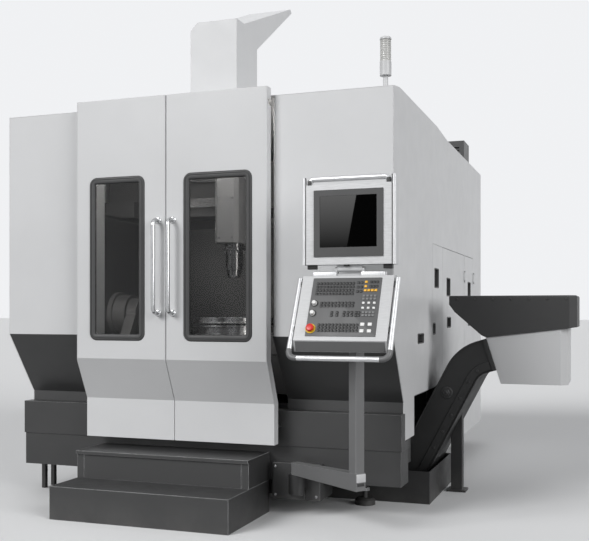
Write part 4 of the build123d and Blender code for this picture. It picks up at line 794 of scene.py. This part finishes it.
# %% The sloping plane
KEY_RUN, KEY_DROP, CASE_TOP_DEPTH = 0.160, 0.319, 0.050
PLATE_W, PLATE_H, PLATE_MARGIN, PLATE_T, PLATE_EDGE = 0.355, 0.322, 0.014, 0.003, 0.0015
SLOPE = hypot(KEY_RUN, KEY_DROP)
run, drop = KEY_RUN / SLOPE, KEY_DROP / SLOPE
case_low, case_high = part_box("keyboard_housing")
panel_x = (case_low.x + case_high.x) / 2
face_origin = np.array((panel_x, case_high.y - CASE_TOP_DEPTH, case_high.z))
face_axes = np.array(((1, 0, 0), (0, run, drop), (0, -drop, run)))


def on_face(local):
    """Points in the face's own axes, x right, y up the slope, z outwards, carried to the machine's frame."""
    return np.asarray(local, float) @ face_axes + face_origin


def share(s, t):
    """The place on the plate at a share of its width and a share of its height from the top."""
    return np.stack((PLATE_W * (np.asarray(s) - 0.5), -PLATE_MARGIN - PLATE_H * np.asarray(t)), -1)


plate = soft_block(PLATE_W, PLATE_H, PLATE_T, PLATE_EDGE) + (0, -PLATE_MARGIN - PLATE_H / 2, 0)
key_field = piece("key_field", [on_face(plate)], "plate_plastic", "panel")
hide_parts("key_plate")
print("plate", PLATE_W, PLATE_H)

# %% Keys
KEY_RISE, KEY_EDGE, KEY_STEPS = 0.0045, 0.0016, 3
key_blocks = {  # finish, cap size, and blocks: from and to across, count, from and to down, count
    "dark_keys": ("key_dark", (0.0132, 0.0130), [
        (0.08, 0.60, 12, 0.10, 0.28, 4), (0.67, 0.72, 2, 0.09, 0.24, 3), (0.85, 0.94, 3, 0.08, 0.155, 2),
        (0.173, 0.628, 10, 0.44, 0.49, 2), (0.343, 0.42, 2, 0.60, 0.65, 2), (0.52, 0.63, 3, 0.60, 0.65, 2),
        (0.69, 0.73, 2, 0.60, 0.65, 2), (0.183, 0.728, 12, 0.81, 0.91, 3)]),
    "grey_keys": ("key_grey", (0.0130, 0.0120), [
        (0.77, 0.93, 4, 0.32, 0.37, 2), (0.79, 0.93, 4, 0.60, 0.65, 2)]),
    "white_keys": ("key_white", (0.0125, 0.0115), [(0.775, 0.93, 3, 0.44, 0.525, 2)]),
    "big_white_keys": ("key_white", (0.020, 0.017), [(0.80, 0.905, 2, 0.80, 0.91, 2)]),
    "amber_keys": ("key_amber", (0.0135, 0.0125), [
        (0.78, 0.78, 1, 0.08, 0.155, 2), (0.78, 0.93, 4, 0.225, 0.225, 1)]),
}
for name, (finish, (width, height), blocks) in key_blocks.items():
    spots = np.concatenate([share(*np.meshgrid(np.linspace(a, b, n), np.linspace(c, d, m))).reshape(-1, 2)
                            for a, b, n, c, d, m in blocks])
    cap = soft_block(width, height, KEY_RISE, KEY_EDGE, KEY_STEPS)
    caps = cap + np.c_[spots, np.full(len(spots), PLATE_T)][:, None, None]
    piece(name, on_face(caps), finish, "panel")
    print(name, len(spots))

# %% [markdown]
# ### Stop button and dials
# A red mushroom sits in a yellow collar. The two dials are white grips with shallow flutes, each in a black
# skirt. All are profiles turned round the face's own outward axis.

# %% Stop button
ROUND_POINTS, STOP_PLACE = 40, (0.068, 0.876)
STOP_REST, STOP_TRAVEL, STEM_R, STEM_ROOM = 0.0133, 0.005, 0.008, 0.0003
COLLAR = [(0.026, PLATE_T), (0.026, 0.0062), (0.0245, 0.0076), (0.012, 0.0076), (0.0095, 0.0071),
          (0.0088, PLATE_T)]
MUSHROOM = [(STEM_R, 0.0), (0.0185, 0.0), (0.020, 0.002), (0.020, 0.006), (0.0185, 0.0095),
            (0.015, 0.0113), (0.008, 0.0119)]
stop_spot = np.append(share(*STOP_PLACE), 0.0)
collar = turned(COLLAR, ROUND_POINTS) + stop_spot
piece("stop_collar", [on_face(collar)], "stop_yellow", "panel", endless(collar))
stem_foot = (STEM_R, PLATE_T + STOP_TRAVEL + STEM_ROOM)
mushroom = turned(np.vstack((stem_foot, np.add(MUSHROOM, (0, STOP_REST)))), ROUND_POINTS) + stop_spot
stop = piece("stop_mushroom", [on_face(mushroom)], "stop_red", "emergency_stop")
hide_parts("stop_button")
print("stop button at rest", STOP_REST, "m above the face")

# %% Dials
DIAL_PLACES = {"feed": (0.072, 0.445), "speed": (0.065, 0.615)}
FLUTES, FLUTE_DEPTH, DIAL_ROOM, DIAL_POINTS = 12, 0.035, 0.0004, 48
GRIP = [(0.0132, 0.0), (0.0132, 0.003), (0.0118, 0.0045), (0.0108, 0.0155), (0.0095, 0.0178), (0.004, 0.018)]
FLUTED_ROWS = slice(2, 4)
SKIRT = [(0.0138, 0.0), (0.0185, 0.0), (0.0175, 0.0035), (0.0138, 0.004)]
dial_spots = {name: np.append(share(*place), 0.0) for name, place in DIAL_PLACES.items()}
turn = np.linspace(0, 2 * pi, DIAL_POINTS, endpoint=False)
grip = turned(np.add(GRIP, (0, PLATE_T + DIAL_ROOM)), DIAL_POINTS)
grip[FLUTED_ROWS, :, :2] *= (1 - FLUTE_DEPTH * (0.5 + 0.5 * np.cos(FLUTES * turn)))[:, None]
for name, spot in dial_spots.items():
    dial = piece(f"{name}_dial", [on_face(grip + spot)], "knob_white", f"{name}_override")
    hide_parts(f"{name}_knob")
skirt = turned(np.add(SKIRT, (0, PLATE_T)), ROUND_POINTS)
piece("dial_skirts", [on_face(skirt + spot) for spot in dial_spots.values()], "black_plastic", "panel",
      endless(skirt))
print("dials", len(dial_spots))

# %% [markdown]
# ## Rails and tubes of the control panel
# The keyboard hangs in a bright tube with grey corner fittings, held by lugs. The display has a slim
# extruded rail at each side, set off by a dark groove, and a grip bar between black end blocks. Tubes are
# rings carried along the same bends as the solids.

# %% Keyboard tube
TUBE_R, FITTING_R, TUBE_GAP, TUBE_SINK = 0.0138, 0.0150, 0.017, 0.015
TUBE_BEND, TUBE_STEPS, TUBE_TOP, TUBE_REACH, FITTING = 0.036, 14, 0.010, 0.446, 0.046
LUG, LUG_SINK, LUG_PLACES = (0.022, 0.034, TUBE_GAP, 0.004), 0.001, (-0.044, -0.294)
tube_x = (case_high.x - case_low.x) / 2 + TUBE_GAP


def face_tube(corners, radius):
    """A round tube that lies in the sloping face's plane and bends at its corners."""
    path = rounded_path([(x, y, -TUBE_SINK) for x, y in corners], TUBE_BEND, TUBE_STEPS)
    return on_face(carried(path, (0, 0, 1), ring(radius)))


around_case = face_tube([(-tube_x, -TUBE_TOP), (-tube_x, -TUBE_REACH), (tube_x, -TUBE_REACH),
                         (tube_x, -TUBE_TOP)], TUBE_R)
tube = piece("keyboard_tube", [around_case], "tube_silver", "panel")
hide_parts("keyboard_handle")
fittings = [face_tube([(sign * tube_x, FITTING - TUBE_REACH), (sign * tube_x, -TUBE_REACH),
                       (sign * (tube_x - FITTING), -TUBE_REACH)], FITTING_R) for sign in (-1, 1)]
piece("tube_corners", fittings, "corner_plastic", "panel")
lug, lug_x = soft_block(*LUG), tube_x - TUBE_GAP + LUG_SINK
lugs = [on_face(facing(lug, (sign, 0, 0), (sign * lug_x, y, -TUBE_SINK), (0, 1, 0)))
        for sign in (-1, 1) for y in LUG_PLACES]
piece("tube_lugs", lugs, "black_plastic", "panel")
print("tube", len(around_case), "rings,", len(lugs), "lugs")

# %% Display rails and grooves
RAIL_W, RAIL_D, RAIL_EDGE, RAIL_PROUD = 0.016, 0.036, 0.005, 0.004
GROOVE_W, GROOVE_D, GROOVE_EDGE, GROOVE_SINK = 0.004, 0.003, 0.0006, 0.0005
RAIL_BELOW_BAR, RAIL_DROP = 0.006, 0.404
screen_low, screen_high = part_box("display_housing")
bar_low, bar_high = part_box("display_handle")
face_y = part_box("display_bezel")[1].y
rail_top, rail_low = bar_high.z - RAIL_BELOW_BAR, screen_high.z - RAIL_DROP


def upright(width, depth, radius, place):
    """A bar of rounded section at a place in plan, from the rails' foot to their top."""
    outline = round_rectangle(width, depth, radius) + place
    return np.stack([np.c_[outline, np.full(OUTLINE, z)] for z in (rail_low, rail_top)])


rails, grooves = [], []
for sign, x in ((-1, screen_low.x), (1, screen_high.x)):
    rail_x = x + sign * (RAIL_PROUD - RAIL_W / 2)
    groove_x = rail_x - sign * (RAIL_W + GROOVE_W) / 2
    rails.append(upright(RAIL_W, RAIL_D, RAIL_EDGE, (rail_x, face_y + RAIL_D / 2 - RAIL_PROUD)))
    grooves.append(upright(GROOVE_W, GROOVE_D, GROOVE_EDGE, (groove_x, face_y + GROOVE_SINK)))
piece("display_rails", rails, "rail_silver", "display")
piece("rail_grooves", grooves, "black_plastic", "display")
print("rails", len(rails), "grooves", len(grooves))

# %% Display grip bar
BAR_BEND, BAR_STEPS = 0.020, 12
END_W, END_ROOM, END_RISE, END_EDGE = 0.022, 0.003, 0.026, 0.005
bar_r = (bar_high.y - bar_low.y) / 2
bar_y, bar_z = (bar_low.y + bar_high.y) / 2, bar_high.z - bar_r
bar_left, bar_right = bar_low.x + bar_r, bar_high.x - bar_r
corners = [(x, bar_y, z) for x, z in ((bar_left, bar_low.z), (bar_left, bar_z), (bar_right, bar_z),
                                      (bar_right, bar_low.z))]
grip_bar = carried(rounded_path(corners, BAR_BEND, BAR_STEPS), (0, 1, 0), ring(bar_r))
bar = piece("display_bar", [grip_bar], "tube_silver", "display")
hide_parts("display_handle")
end_block = soft_block(END_W, 2 * bar_r + END_ROOM, END_RISE, END_EDGE)
ends = [end_block + (x, bar_y, bar_low.z) for x in (bar_left, bar_right)]
piece("bar_ends", ends, "black_plastic", "display")
print("bar", round(bar_right - bar_left, 3), "m between ends")

# %% [markdown]
# ### Tilt hinge and chin
# Two bright hinge covers lie on the keyboard's top, under the display. Black ears and a small catch hang
# under the display and tilt with it. A grey chin closes the keyboard's front.

# %% Hinge and chin
COVER, COVER_X, COVER_Y = (0.125, 0.050, 0.020, 0.004), 0.125, 0.024
EAR, EAR_X, EAR_Y = (0.046, 0.036, 0.021, 0.003), 0.198, 0.034
CATCH, CATCH_X, CATCH_Y = (0.030, 0.012, 0.008, 0.003), -0.012, 0.012
HANGING, HANG_SINK = (1, 1, -1), 0.001
CHIN_HALF, CHIN_TOP, CHIN_LOW, CHIN_SKINS = 0.226, (0.0010, -0.006), (0.0140, -0.055), (0.003, -0.0015)
covers = [soft_block(*COVER) + (panel_x + sign * COVER_X, case_high.y - COVER_Y, case_high.z)
          for sign in (-1, 1)]
piece("hinge_covers", covers, "rail_silver", "panel")
under = rail_low + HANG_SINK
ears = [soft_block(*EAR) * HANGING + (panel_x + sign * EAR_X, face_y + EAR_Y, under) for sign in (-1, 1)]
piece("hinge_ears", ears, "black_plastic", "display")
catch = soft_block(*CATCH) * HANGING + (panel_x + CATCH_X, face_y + CATCH_Y, under)
piece("tilt_catch", [catch], "black_plastic", "display")
nose = on_face((0, -SLOPE, 0))
chin = np.array([(sign * CHIN_HALF, y, z) for sign, (y, z) in
                 ((-1, CHIN_TOP), (-1, CHIN_LOW), (1, CHIN_LOW), (1, CHIN_TOP))]) + nose
chin_skins = np.stack([chin + (0, y, 0) for y in CHIN_SKINS])
piece("keyboard_chin", [chin_skins], "chin_plastic", "panel")
print("hinge covers", len(covers), "ears", len(ears))

# %% [markdown]
# ## End of the swing arm
# The arm's free end is closed by a light cap with a dark slot under it. Both face along the arm, from its
# pivot to the panel's post, so the two joints give their direction.

# %% Arm cap and slot
TIP_REACH = 0.034
ARM_ENDS = {  # block, height above the arm's underside, finish, slot
    "arm_cap": ((0.056, 0.042, 0.006, 0.002), 0.064, "chute_grey", "grey_paint"),
    "arm_slot": ((0.042, 0.014, 0.0025, 0.001), 0.031, "black_plastic", "black_plastic"),
}
reach = pivots["panel_turn"] - pivots["arm_swing"]
reach[2] = 0.0
reach = unit(reach)
arm_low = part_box("swing_arm")[0].z
tip = pivots["panel_turn"] + reach * TIP_REACH
for name, (block, height, finish, slot) in ARM_ENDS.items():
    piece(name, [facing(soft_block(*block), reach, (tip[0], tip[1], arm_low + height))], finish, "arm")
print("arm points along", np.round(reach, 3))

# %% [markdown]
# ## Flush pulls in the covers
# The service covers are opened by black plastic cups let into pockets of the sheet. A cup is a stack of
# rounded outlines: floor, wall, rolled lip, and back down outside the wall, so that it has real thickness.
# The record's openings say where fingers go, and each cup follows one of them with its margins.

# %% Cups
POCKET_MARGIN, POCKET_MOUTH, POCKET_FLOOR = 0.003, 0.010, 0.001
LIP, LIP_RISE, FIT, CUP_FLOOR = 0.006, 0.0014, 0.0004, 0.0012
CUPS = {
    "machine": "front_grip middle_grip middle_latch",
    "magazine_cover": "magazine_grip magazine_latch",
    "rear_cover": "rear_grip rear_latch",
    "cabinet_cover": "cabinet_grip cabinet_latch",
}


def cup(width, height, depth):
    """Outlines from the inner floor up the wall, over the lip, and down the outside to the back. Each row
    is what is added to the size, the corner radius and the level."""
    rows = ((-0.008, 0.006, CUP_FLOOR - depth), (-0.004, 0.006, -0.0010), (-0.001, 0.007, LIP_RISE),
            (LIP, 0.009, LIP_RISE), (2 * LIP, 0.011, 0.0), (-FIT, 0.003, 0.0), (-FIT, 0.003, FIT - depth))
    return rings_of([(width + more, height + more, radius, level) for more, radius, level in rows])


for body, names in CUPS.items():
    axis, wide = (1, 0) if body == "cabinet_cover" else (0, 1)
    for name in names.split():
        low, high = openings[name]
        mouth = (low + high) / 2
        mouth[axis] = high[axis] - POCKET_MOUTH
        shape = cup(high[wide] - low[wide] + 2 * POCKET_MARGIN, high[2] - low[2] + 2 * POCKET_MARGIN,
                    mouth[axis] - low[axis] + POCKET_FLOOR)
        piece(f"{name}_cup", [facing(shape, np.eye(3)[axis], mouth)], "black_plastic", body)
print("cups", sum(len(names.split()) for names in CUPS.values()))

# %% [markdown]
# ## Conveyor trim
# The rising duct has folded lips along both edges and a bolted guide strip below its middle, on both
# sides, and a round boss with a hexagon where a guide shaft ends. All follow the duct's own line, so they
# are profiles carried along the same path of runs and arcs.

# %% The duct's line
DUCT_START, DUCT_LOW, DUCT_FOOT, DUCT_RISE, DUCT_HEAD = 940.0, 104.0, 1070.0, 732.0, 120.0
DUCT_BEND, DUCT_STEPS, RISE_DEG, HEAD_DEG = 0.200, 18, 62.5, 17.5
SIDES = {-1: "near", 1: "far"}
GUIDE_BELOW, GUIDE_PROUD = 0.063, 0.007
STRIPS = ((GUIDE_BELOW, 0.052, GUIDE_PROUD), (0.097, 0.006, 0.012), (-0.097, 0.006, 0.012))
STRIP_EDGE, STRIP_SINK = 0.0015, 0.001
knee = (DUCT_FOOT + DUCT_RISE / tan(radians(RISE_DEG)), DUCT_LOW + DUCT_RISE)
duct_end = (knee[0] + DUCT_HEAD * cos(radians(HEAD_DEG)), knee[1] + DUCT_HEAD * sin(radians(HEAD_DEG)))
duct_corners = np.array([at(x, 0, z) for x, z in
                         ((DUCT_START, DUCT_LOW), (DUCT_FOOT, DUCT_LOW), knee, duct_end)])
chute_low, chute_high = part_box("discharge_chute")
duct_lines = {}
for out, y in ((-1, chute_low.y), (1, chute_high.y)):
    duct_corners[:, 1] = y
    duct_lines[out] = rounded_path(duct_corners, DUCT_BEND, DUCT_STEPS)


def strip(out, below, width, proud):
    """A flat bar with broken edges on one side of the duct, set below the centre line by a distance."""
    half = width / 2
    profile = np.array([(-STRIP_SINK, -half), (proud - STRIP_EDGE, -half), (proud, STRIP_EDGE - half),
                        (proud, half - STRIP_EDGE), (proud - STRIP_EDGE, half), (-STRIP_SINK, half)])
    profile[:, 1] -= below * out
    return carried(duct_lines[out], (0, out, 0), profile)


strips = [strip(out, *row) for out in SIDES for row in STRIPS]
piece("duct_strips", strips, "conveyor_black", "machine")
print("strips", len(strips))

# %% Guide boss
BOSS_X, BOSS_Z, BOSS_POINTS, HEXAGON = 1322.0, 0.641, 32, 6
BOSS = [(0.036, 0.0), (0.036, 0.006), (0.033, 0.009), (0.024, 0.009)]
NUT = [(0.022, 0.008), (0.022, 0.019), (0.019, 0.022), (0.008, 0.022), (0.007, 0.027), (0.003, 0.028)]
boss_x = at(BOSS_X, 0, 0)[0]
for name, profile, count in (("guide_boss", BOSS, BOSS_POINTS), ("guide_nut", NUT, HEXAGON)):
    shapes = [facing(turned(profile, count), (0, out, 0), (boss_x, duct_lines[out][0, 1], BOSS_Z))
              for out in SIDES]
    piece(name, shapes, "hood_black", "machine")
print("bosses", len(SIDES))

# %% [markdown]
# ## Screws and nuts
# Sheet covers are held by button-head screws, and the levelling feet by hexagon nuts. One head with its
# socket is a turned profile, and each cover gets a stack of copies at its own places.

# %% Screws
HEAD = [(0.0050, 0.0), (0.0050, 0.0010), (0.0042, 0.0026), (0.0026, 0.0032), (0.0022, 0.0032),
        (0.0020, 0.0014), (0.0004, 0.0012)]
HEAD_POINTS, DUCT_SIZE, HOOD_SIZE, COVER_SIZE = 12, 1.7, 1.3, 1.6
DUCT_FIRST, DUCT_LAST, ROW_COUNT = 0.36, 1.05, 7
HOOD_LEFT, HOOD_RIGHT, HOOD_BELOW = 0.05, 0.06, 0.022
RAM_IN, RAM_END, RAM_MIDDLE, BRACKET_IN = 0.036, 0.03, 0.28, 0.022


def screws(name, places, out, body, size, finish="screw_steel"):
    """Button heads at given places on an upright face that looks to the near or the far side."""
    head = turned(np.multiply(HEAD, size), HEAD_POINTS)
    piece(name, [facing(head, (0, out, 0), place) for place in places], finish, body)


for out, label in SIDES.items():
    spots, way = along(duct_lines[out], np.linspace(DUCT_FIRST, DUCT_LAST, ROW_COUNT))
    spots = spots + np.cross(way, (0, -1, 0)) * GUIDE_BELOW + (0, out * GUIDE_PROUD, 0)
    screws(f"duct_screws_{label}", spots, out, "machine", DUCT_SIZE, "hood_black")
head_low, head_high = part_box("conveyor_head")
for out, y in ((-1, head_low.y), (1, head_high.y)):
    row = np.linspace(head_low.x + HOOD_LEFT, head_high.x - HOOD_RIGHT, ROW_COUNT)
    places = [(x, y, head_high.z - HOOD_BELOW) for x in row]
    screws(f"head_screws_{SIDES[out]}", places, out, "machine", HOOD_SIZE, "hood_black")
low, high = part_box("spindle_ram")
places = [(x, low.y, z) for x in (low.x + RAM_IN, high.x - RAM_IN)
          for z in (low.z + RAM_END, low.z + RAM_MIDDLE, high.z - RAM_END)]
screws("ram_screws", places, -1, "z_ram", COVER_SIZE)
low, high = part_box("arm_bracket")
places = [(x, low.y, z) for x in (low.x + BRACKET_IN, high.x - BRACKET_IN)
          for z in (low.z + BRACKET_IN, high.z - BRACKET_IN)]
screws("bracket_screws", places, -1, "machine", COVER_SIZE)
print("screws placed")

# %% Foot nuts
FOOT_NUT = [(0.024, 0.0), (0.027, 0.003), (0.027, 0.021), (0.024, 0.024)]
FOOT_X, FOOT_Y, NUT_LEVEL = (-900, 0, 900), (547, 1700, 3000), 78
nuts = [turned(FOOT_NUT, HEXAGON) + at(x, y, NUT_LEVEL) for x in FOOT_X for y in FOOT_Y]
piece("foot_nuts", nuts, "screw_steel", "machine")
print("nuts", len(nuts))

# %% [markdown]
# ## Spindle coolant ring
# A ring round the spindle's sleeve carries small nozzles that point down at the tool. The ring is a closed
# profile turned round the spindle's axis, and the nozzles are copies of one tapered tip.

# %% Coolant ring
RING_IN, RING_OUT, RING_BEVEL, RING_HEIGHT, RING_UP, RING_POINTS = 0.0567, 0.072, 0.003, 0.022, 0.125, 48
NOZZLE = [(0.0018, -0.016), (0.0032, -0.011), (0.0042, -0.003), (0.0042, 0.001)]
NOZZLES, NOZZLE_POINTS = 8, 12
low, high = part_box("spindle_sleeve")
ring_middle = np.array(((low.x + high.x) / 2, (low.y + high.y) / 2, low.z + RING_UP))
collar_ring = turned([(RING_IN, 0.0), (RING_OUT - RING_BEVEL, 0.0), (RING_OUT, RING_BEVEL),
                      (RING_OUT, RING_HEIGHT - RING_BEVEL), (RING_OUT - RING_BEVEL, RING_HEIGHT),
                      (RING_IN, RING_HEIGHT)], RING_POINTS) + ring_middle
piece("coolant_ring", [collar_ring], "spindle_steel", "z_ram", endless(collar_ring))
nozzle = turned(NOZZLE, NOZZLE_POINTS) + ring_middle
tips = [nozzle + (x, y, 0) for x, y in ring((RING_IN + RING_OUT) / 2, NOZZLES)]
piece("coolant_nozzles", tips, "screw_steel", "z_ram")
print("nozzles", len(tips))

# %% [markdown]
# ## Turned rim of the table
# The table's side has a rounded bead at the top, a second one below it and, between the two, a black band
# that paints the shade of a groove.
# Each is a closed profile turned round the table's axis, a little proud of the solid.

# %% Table rim
BEAD_PROUD, BEAD_SINK, BEAD_STEPS, RIM_POINTS = 0.0025, 0.002, 9, 96
RIM_BELOW_SLOTS = 0.006
TOP_BEAD, GROOVE_SHADE_BAND, LOW_BEAD = (0.0, 0.008), (0.009, 0.012), (0.022, 0.010)
table_low, table_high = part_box("rotary_table")
table_axis = ((table_low.x + table_high.x) / 2, (table_low.y + table_high.y) / 2, 0)
table_r = (table_high.x - table_low.x) / 2
rim_top = openings["table_slot_1"][0][2] - RIM_BELOW_SLOTS


def bead(below, height):
    """A half-round band on the table's side, with its top below the rim's top by a distance: radius = side
    + proud * sin(angle), from its foot to its top."""
    angle, top = np.linspace(0, pi, BEAD_STEPS), rim_top - below
    band = np.c_[table_r + BEAD_PROUD * np.sin(angle), top - height + height * (1 - np.cos(angle)) / 2]
    back = np.array([(table_r - BEAD_SINK, top), (table_r - BEAD_SINK, top - height)])
    return turned(np.concatenate((band, back)), RIM_POINTS) + table_axis


beads, groove_shade_band = [bead(*TOP_BEAD), bead(*LOW_BEAD)], bead(*GROOVE_SHADE_BAND)
piece("table_beads", beads, "table_steel", "table", endless(groove_shade_band))
# The black band between the beads is painted groove shade.
piece("table_groove_shade", [groove_shade_band], "black_plastic", "table", endless(groove_shade_band))
print("table side from", round(table_low.z, 3), "to", round(table_high.z, 3), "rim top", round(rim_top, 3))

# %% [markdown]
# ## Cooling slots of the electric cabinet
# The cabinet door at the back breathes through pressed louvres. Each is a hood that rises from the sheet and
# ends in an open-looking step at its lower edge.

# %% Louvres
LOUVRES, LOUVRE_PITCH, LOUVRE_W, LOUVRE_H, LOUVRE_RISE = 9, 0.030, 0.30, 0.018, 0.006
LOUVRE_ROWS, LOUVRE_COLUMNS, LOUVRE_ENDS = 9, 17, 6
LOUVRE_ASIDE, LOUVRE_UP = 0.12, 0.16


def louvre(width, height, rise):
    """A pressed hood on a grid: height = rise * sin(down * 90 degrees) * (1 - across^6)^0.5, where across
    goes from -1 to 1 and down from 0 to 1. A last row drops back to the sheet."""
    across, down = np.meshgrid(np.linspace(-1, 1, LOUVRE_COLUMNS), np.linspace(0, 1, LOUVRE_ROWS))
    level = rise * np.sin(down * pi / 2) * np.sqrt(np.maximum(1 - across ** LOUVRE_ENDS, 0.0))
    hood = np.stack((across * width / 2, (0.5 - down) * height, level), -1)
    return np.concatenate((hood, hood[-1:] * (1, 1, 0)))


hood = louvre(LOUVRE_W, LOUVRE_H, LOUVRE_RISE)
index = np.arange(hood[..., 0].size).reshape(hood.shape[:2])
rim = np.concatenate((index[0], index[1:, -1], index[-1, -2::-1], index[-2:0:-1, 0]))
low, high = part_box("cabinet_door")
sheet_y = openings["cabinet_grip"][1][1] - POCKET_MOUTH
louvre_x, louvre_z = (low.x + high.x) / 2 - LOUVRE_ASIDE, low.z + LOUVRE_UP
hoods = [facing(hood, (0, 1, 0), (louvre_x, sheet_y, louvre_z + k * LOUVRE_PITCH)) for k in range(LOUVRES)]
piece("cabinet_louvres", hoods, "white_sheet", "cabinet_cover",
      [quads(*index.shape), rim[None]])
print("louvres", len(hoods))

# %% [markdown]
# ## Beacon
# The lamp's lens is a ribbed clear tube. Its profile is a row of shallow waves turned round the stem's axis.

# %% Beacon lens
RIBS, RIB_DEPTH, RIB_STEPS, LENS_POINTS = 10, 0.0014, 6, 40
low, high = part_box("beacon_lens")
rise = np.linspace(0, 1, RIB_STEPS * RIBS + 1)
wave = (high.x - low.x) / 2 - RIB_DEPTH * (1 - np.cos(rise * 2 * pi * RIBS)) / 2
stem = ((low.x + high.x) / 2, (low.y + high.y) / 2, 0)
ribbed = turned(np.c_[wave, low.z + rise * (high.z - low.z)], LENS_POINTS) + stem
lens = piece("beacon_ribs", [ribbed], "lens_clear", "machine")
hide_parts("beacon_lens")
print("ribs", RIBS)

# %% [markdown]
# ## Work lights
# The work area is closed on all sides, so without its own lamps the windows would be black. A slim lamp
# hangs under the roof's front, and one stands upright in each front corner, as on real machines.

# %% Work lamps
LAMP_GLOW, LAMP_TINT, LAMP_WHITE = 15.0, (1.0, 0.97, 0.93, 1.0), (0.8, 0.8, 0.8, 1.0)
FROST_SCALE, FROST_LEAST, FROST_MOST = 30.0, 0.3, 0.4
ROOF_LAMP, ROOF_PLACE, ROOF_AIM = (0.80, 0.070, 0.045, 0.012), (-80, 190, 2290), (0, 0.35, -1)
CORNER_LAMP, CORNER_TURN = (0.050, 0.92, 0.030, 0.010), 0.6
CORNER_X, CORNER_Y, CORNER_Z = 790, 120, 1460
glow, glow_tree, glow_shader = blank("lamp_glow")
frost = spread(glow_tree, noise(glow_tree, FROST_SCALE), FROST_LEAST, FROST_MOST)
feed(glow_tree, glow_shader, {"Base Color": LAMP_WHITE, "Emission Color": LAMP_TINT,
                              "Emission Strength": LAMP_GLOW, "Roughness": frost})
look["lamp_glow"] = glow
roof_lamp = facing(soft_block(*ROOF_LAMP), ROOF_AIM, at(*ROOF_PLACE), (0, 1, 0))
piece("work_lamp", [roof_lamp], "lamp_glow", "machine")
lamps = [facing(soft_block(*CORNER_LAMP), (-sign * CORNER_TURN, 1, 0),
                at(sign * CORNER_X, CORNER_Y, CORNER_Z)) for sign in (-1, 1)]
piece("corner_lamps", lamps, "lamp_glow", "machine")
print("work lamps", 1 + len(lamps))
